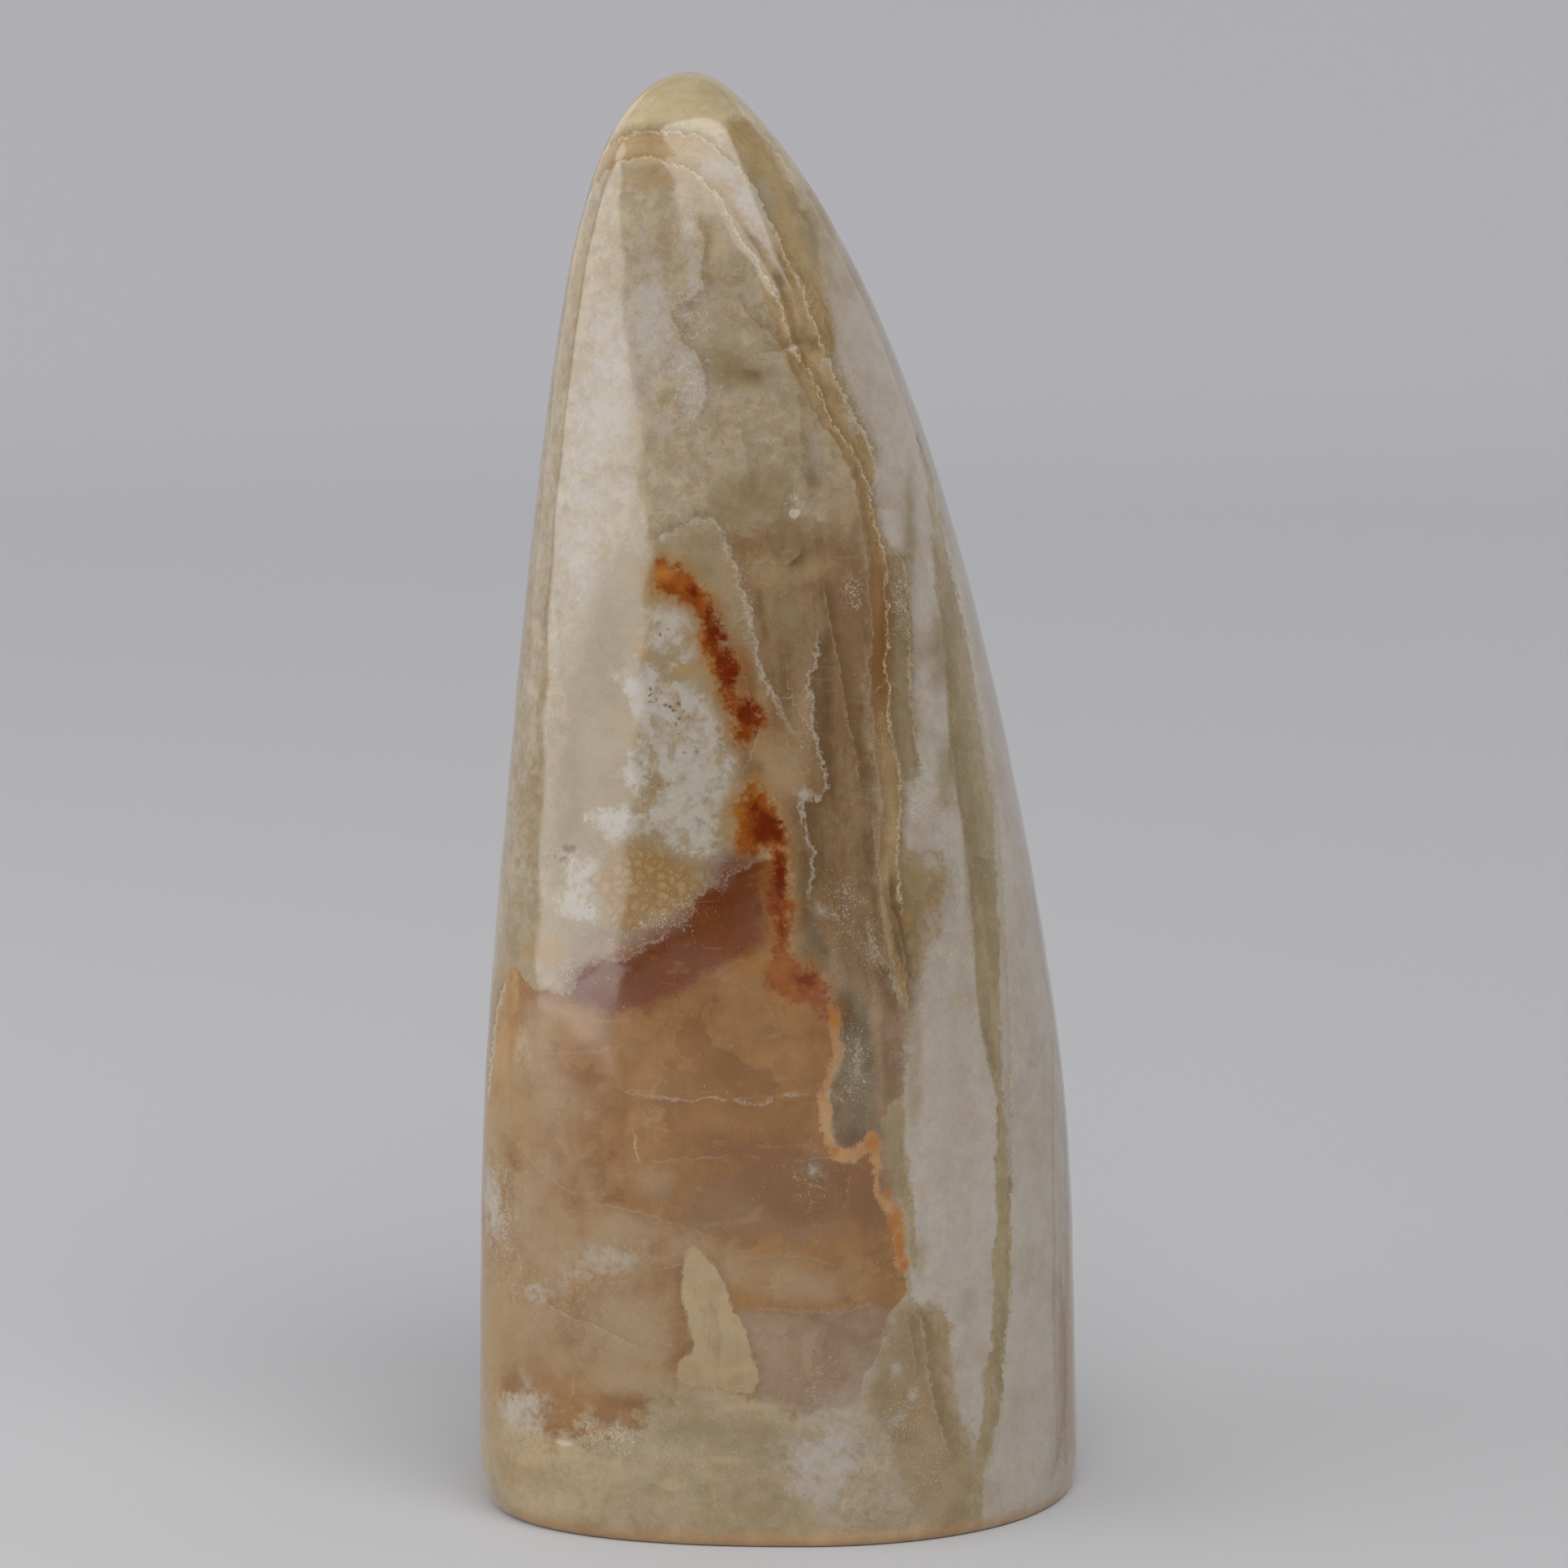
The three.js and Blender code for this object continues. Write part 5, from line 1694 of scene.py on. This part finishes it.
@dataclass
class Freeform:
    """The whole object: one stone on its own sawn foot.

    Sizes are in millimetres. A groove runs beside a layer's edge, its middle on the side that
    the edge's shade is on. The wear fades out in the last stretch over the foot, which is kept
    plain.
    """

    form: StoneForm = field(default_factory=StoneForm)
    finish: PolishedAragonite = field(default_factory=PolishedAragonite)
    wave_depth: float = 0.06
    groove_depth: float = 0.07
    groove_middle: float = 0.5
    groove_reach: float = 1.1
    pit_depth: float = 0.4
    foot_kept: float = 2.0

    def build(self) -> bpy.types.Object:
        """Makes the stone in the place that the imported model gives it.

        Returns:
            The stone.
        """
        points = self.form.points()
        low, high = (np.array(corner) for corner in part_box("stone"))
        span = points.max(axis=0) - points.min(axis=0)
        points = low + (points - points.min(axis=0)) * (high - low) / span
        mesh = bpy.data.meshes.new("banded_stone")
        mesh.from_pydata(points, [], self.form.faces())
        mesh.polygons.foreach_set("use_smooth", [True] * len(mesh.polygons))
        chart = MarkingChart(points / MM)
        outward = np.empty(points.size)
        mesh.vertex_normals.foreach_get("vector", outward)
        worn = points - outward.reshape(points.shape) * self.wear(chart)[:, None] * MM
        mesh.vertices.foreach_set("co", worn.ravel())
        self.draw_markings(mesh, chart)
        mesh.materials.append(self.finish.build())
        stone = bpy.data.objects.new("banded_stone", mesh)
        bpy.context.scene.collection.objects.link(stone)
        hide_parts("stone")
        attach(stone, "root")
        return stone

    def wear(self, chart: MarkingChart) -> np.ndarray:
        """Works out the hand-ground waves, the grooves beside the layers' edges and the pits.

        Args:
            chart: the chart of the stone's skin.

        Returns:
            How far each point lies under the plain form, in millimetres.
        """
        x, y, z = chart.points.T
        wave = np.sin(0.46 * x + 0.21 * z + 0.8) * np.sin(0.33 * z - 0.27 * y + 0.4)
        ripple = np.sin(0.9 * x - 0.4 * y + 1.7) * np.sin(0.71 * z + 0.5 * y)
        worn = self.wave_depth * (1 + 0.5 * wave + 0.2 * ripple)
        for family in (STEP_EDGES, DEEP_EDGES, SECOND_RIM, CRUST_EDGE):
            offset, strength, shade = chart.veins(family).T
            aside = offset * np.sign(shade)
            groove = 1 - np.abs(aside - self.groove_middle) / self.groove_reach
            worn += self.groove_depth * strength * np.clip(groove, 0, 1)
        worn += self.pit_depth * chart.clouds(PITS)
        return worn * np.clip(z / self.foot_kept, 0, 1)

    def draw_markings(self, mesh: bpy.types.Mesh, chart: MarkingChart) -> None:
        """Stores what every layer of the finish reads as an attribute of the mesh.

        Args:
            mesh: the stone's mesh.
            chart: the chart of its skin.
        """
        _, offset, walked = chart.nearest(smooth_path(GROWTH_LINE))
        readings = {layer.name: layer.measure(chart) for layer in LAYERS}
        readings["freckles"] = chart.clouds(FRECKLES)
        readings["growth"] = np.stack([offset, walked, chart.points[:, 1]], axis=-1)
        for name, reading in readings.items():
            if reading.ndim == 1:
                mesh.attributes.new(name, "FLOAT", "POINT").data.foreach_set("value", reading)
            else:
                store = mesh.attributes.new(name, "FLOAT_VECTOR", "POINT")
                store.data.foreach_set("vector", reading.ravel())


# ----- The studio -----

@dataclass(frozen=True)
class SoftLight:
    """A rectangular light that faces the stone.

    The distance is in metres from the stone's middle. The angles are in degrees: how far to the
    left of the camera's side it stands, seen from the stone, how far above the horizon, how wide
    and how high it looks from there, and how far it rolls about the line to the stone.
    """

    name: str
    distance: float
    to_left: float
    above: float
    wide: float
    high: float
    radiance: float
    colour: Colour
    roll: float = 0.0

    def build(self) -> None:
        """Makes the light and turns it to the stone."""
        light = bpy.data.lights.new(self.name, "AREA")
        light.shape = "RECTANGLE"
        light.size = 2 * self.distance * math.tan(math.radians(self.wide / 2))
        light.size_y = 2 * self.distance * math.tan(math.radians(self.high / 2))
        light.energy = self.radiance * math.pi * light.size * light.size_y
        light.color = self.colour
        placed = bpy.data.objects.new(self.name, light)
        turn, lift = math.radians(self.to_left), math.radians(self.above)
        away = Vector((-math.sin(turn) * math.cos(lift), -math.cos(turn) * math.cos(lift), math.sin(lift)))
        placed.location = Vector((0, 0, STONE_MIDDLE)) + away * self.distance
        placed.rotation_mode = "QUATERNION"
        rolled = Quaternion((0, 0, 1), math.radians(self.roll))
        placed.rotation_quaternion = away.to_track_quat("Z", "Y") @ rolled
        placed.visible_camera = False
        bpy.context.scene.collection.objects.link(placed)


LIGHTS = (
    # The tall light on the left, whose edges show in the polish.
    SoftLight("window_light", distance=0.6, to_left=63.5, above=10, wide=65, high=41,
              radiance=2.4, colour=(0.98, 0.995, 1), roll=-26),
    # The broad light over the camera.
    SoftLight("overhead_light", distance=1.8, to_left=-18, above=50.5, wide=54, high=38,
              radiance=2.8, colour=(1, 0.985, 0.97)),
    # The pale cards on both sides, which the stone's edges mirror.
    SoftLight("side_card", distance=1.8, to_left=128, above=8, wide=50, high=60,
              radiance=0.6, colour=(0.98, 0.99, 1)),
    SoftLight("far_card", distance=1.8, to_left=-112, above=10, wide=60, high=60,
              radiance=0.3, colour=(0.97, 0.985, 1)),
)


@dataclass(frozen=True)
class MattSweep:
    """The finish of the sweep: matt paint, painted paler from the floor up to the wall as painted light,
    since the backdrop is lit brighter than the floor.
    """

    floor_colour: Colour = (0.55, 0.55, 0.565)
    wall_colour: Colour = (0.7, 0.695, 0.725)
    change_from: float = 0.15
    change_to: float = 1.1
    roughness: float = 0.9

    def build(self) -> bpy.types.Material:
        """Makes the material.

        Returns:
            The finished material.
        """
        material = bpy.data.materials.new("pale_sweep")
        bench = NodeBench(material)
        _, back, _ = bench.parts(bench.node("ShaderNodeTexCoord").outputs["Object"])
        shader = bench.node("ShaderNodeBsdfPrincipled")
        output = bench.node("ShaderNodeOutputMaterial")
        # Painted light: the tone grows paler toward the wall, standing in for the brighter light there.
        toward_wall = bench.step(back, self.change_from, self.change_to, smooth=False)
        colour = bench.mix(toward_wall, self.floor_colour, self.wall_colour)
        bench.feed(shader.inputs["Base Color"], colour)
        shader.inputs["Roughness"].default_value = self.roughness
        bench.feed(output.inputs["Surface"], shader.outputs[0])
        return material


@dataclass(frozen=True)
class Studio:
    """The plain studio: a pale sweep, its lights and the camera. Sizes are in metres."""

    camera_distance: float = 0.56
    camera_pitch: float = 9.5
    camera_aim: tuple[float, float] = (0.0004, 0.0756)
    lens: float = 123.9
    floor_front: float = -4.0
    sweep_start: float = 0.9
    sweep_radius: float = 1.2
    sweep_width: float = 14.0
    wall_rise: float = 1.0
    sweep_finish: MattSweep = field(default_factory=MattSweep)
    air_radiance: float = 0.36
    mirrored_radiance: float = 0.03

    def build(self) -> None:
        """Makes the sweep, the lights, the world and the camera."""
        self.build_sweep()
        for light in LIGHTS:
            light.build()
        self.build_world()
        self.build_camera()

    def build_sweep(self) -> None:
        """Makes the floor, which turns up into a wall far behind the stone."""
        turn = np.linspace(0, math.pi / 2, 33)
        run = np.concatenate([[self.floor_front], self.sweep_start + self.sweep_radius * np.sin(turn)])
        rise = np.concatenate([[0.0], self.sweep_radius * (1 - np.cos(turn))])
        run = np.append(run, run[-1])
        rise = np.append(rise, rise[-1] + self.wall_rise)
        half = self.sweep_width / 2
        points = [(x, y, z) for y, z in zip(run, rise, strict=True) for x in (-half, half)]
        faces = [(2 * i, 2 * i + 1, 2 * i + 3, 2 * i + 2) for i in range(len(run) - 1)]
        mesh = bpy.data.meshes.new("sweep")
        mesh.from_pydata(points, [], faces)
        mesh.polygons.foreach_set("use_smooth", [True] * len(faces))
        sweep = bpy.data.objects.new("sweep", mesh)
        bpy.context.scene.collection.objects.link(sweep)
        mesh.materials.append(self.sweep_finish.build())

    def build_world(self) -> None:
        """Fills the room with even grey light, and leaves it dim where the polish mirrors it."""
        world = bpy.data.worlds.new("studio_air")
        world.use_nodes = True
        nodes = world.node_tree.nodes
        air = nodes["Background"]
        air.inputs["Color"].default_value = (0.98, 0.985, 1.0, 1)
        mirrored = nodes.new("ShaderNodeLightPath")
        dimmed = nodes.new("ShaderNodeMapRange")
        dimmed.inputs["To Min"].default_value = self.air_radiance
        dimmed.inputs["To Max"].default_value = self.mirrored_radiance
        world.node_tree.links.new(mirrored.outputs["Is Glossy Ray"], dimmed.inputs["Value"])
        world.node_tree.links.new(dimmed.outputs["Result"], air.inputs["Strength"])
        bpy.context.scene.world = world

    def build_camera(self) -> None:
        """Makes the camera, a little above the stone and looking down at it, in plain tones."""
        camera = bpy.data.cameras.new("camera")
        camera.lens = self.lens
        camera.sensor_width = 36
        camera.clip_start = 0.01
        camera.clip_end = 50
        placed = bpy.data.objects.new("camera", camera)
        pitch = math.radians(self.camera_pitch)
        aim_x, aim_z = self.camera_aim
        lift = self.camera_distance * math.tan(pitch)
        placed.location = (aim_x, -self.camera_distance, aim_z + lift)
        placed.rotation_euler = (math.pi / 2 - pitch, 0, 0)
        bpy.context.scene.collection.objects.link(placed)
        bpy.context.scene.camera = placed
        bpy.context.scene.view_settings.view_transform = "Standard"


def main() -> None:
    """Builds the stone, then its studio, and notes how many faces the stone has."""
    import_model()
    stone = Freeform().build()
    LOG.info("%s: %d faces", stone.name, len(stone.data.polygons))
    Studio().build()


if __name__ == "__main__":
    logging.basicConfig(level=logging.INFO, format="%(name)s: %(message)s")
    main()
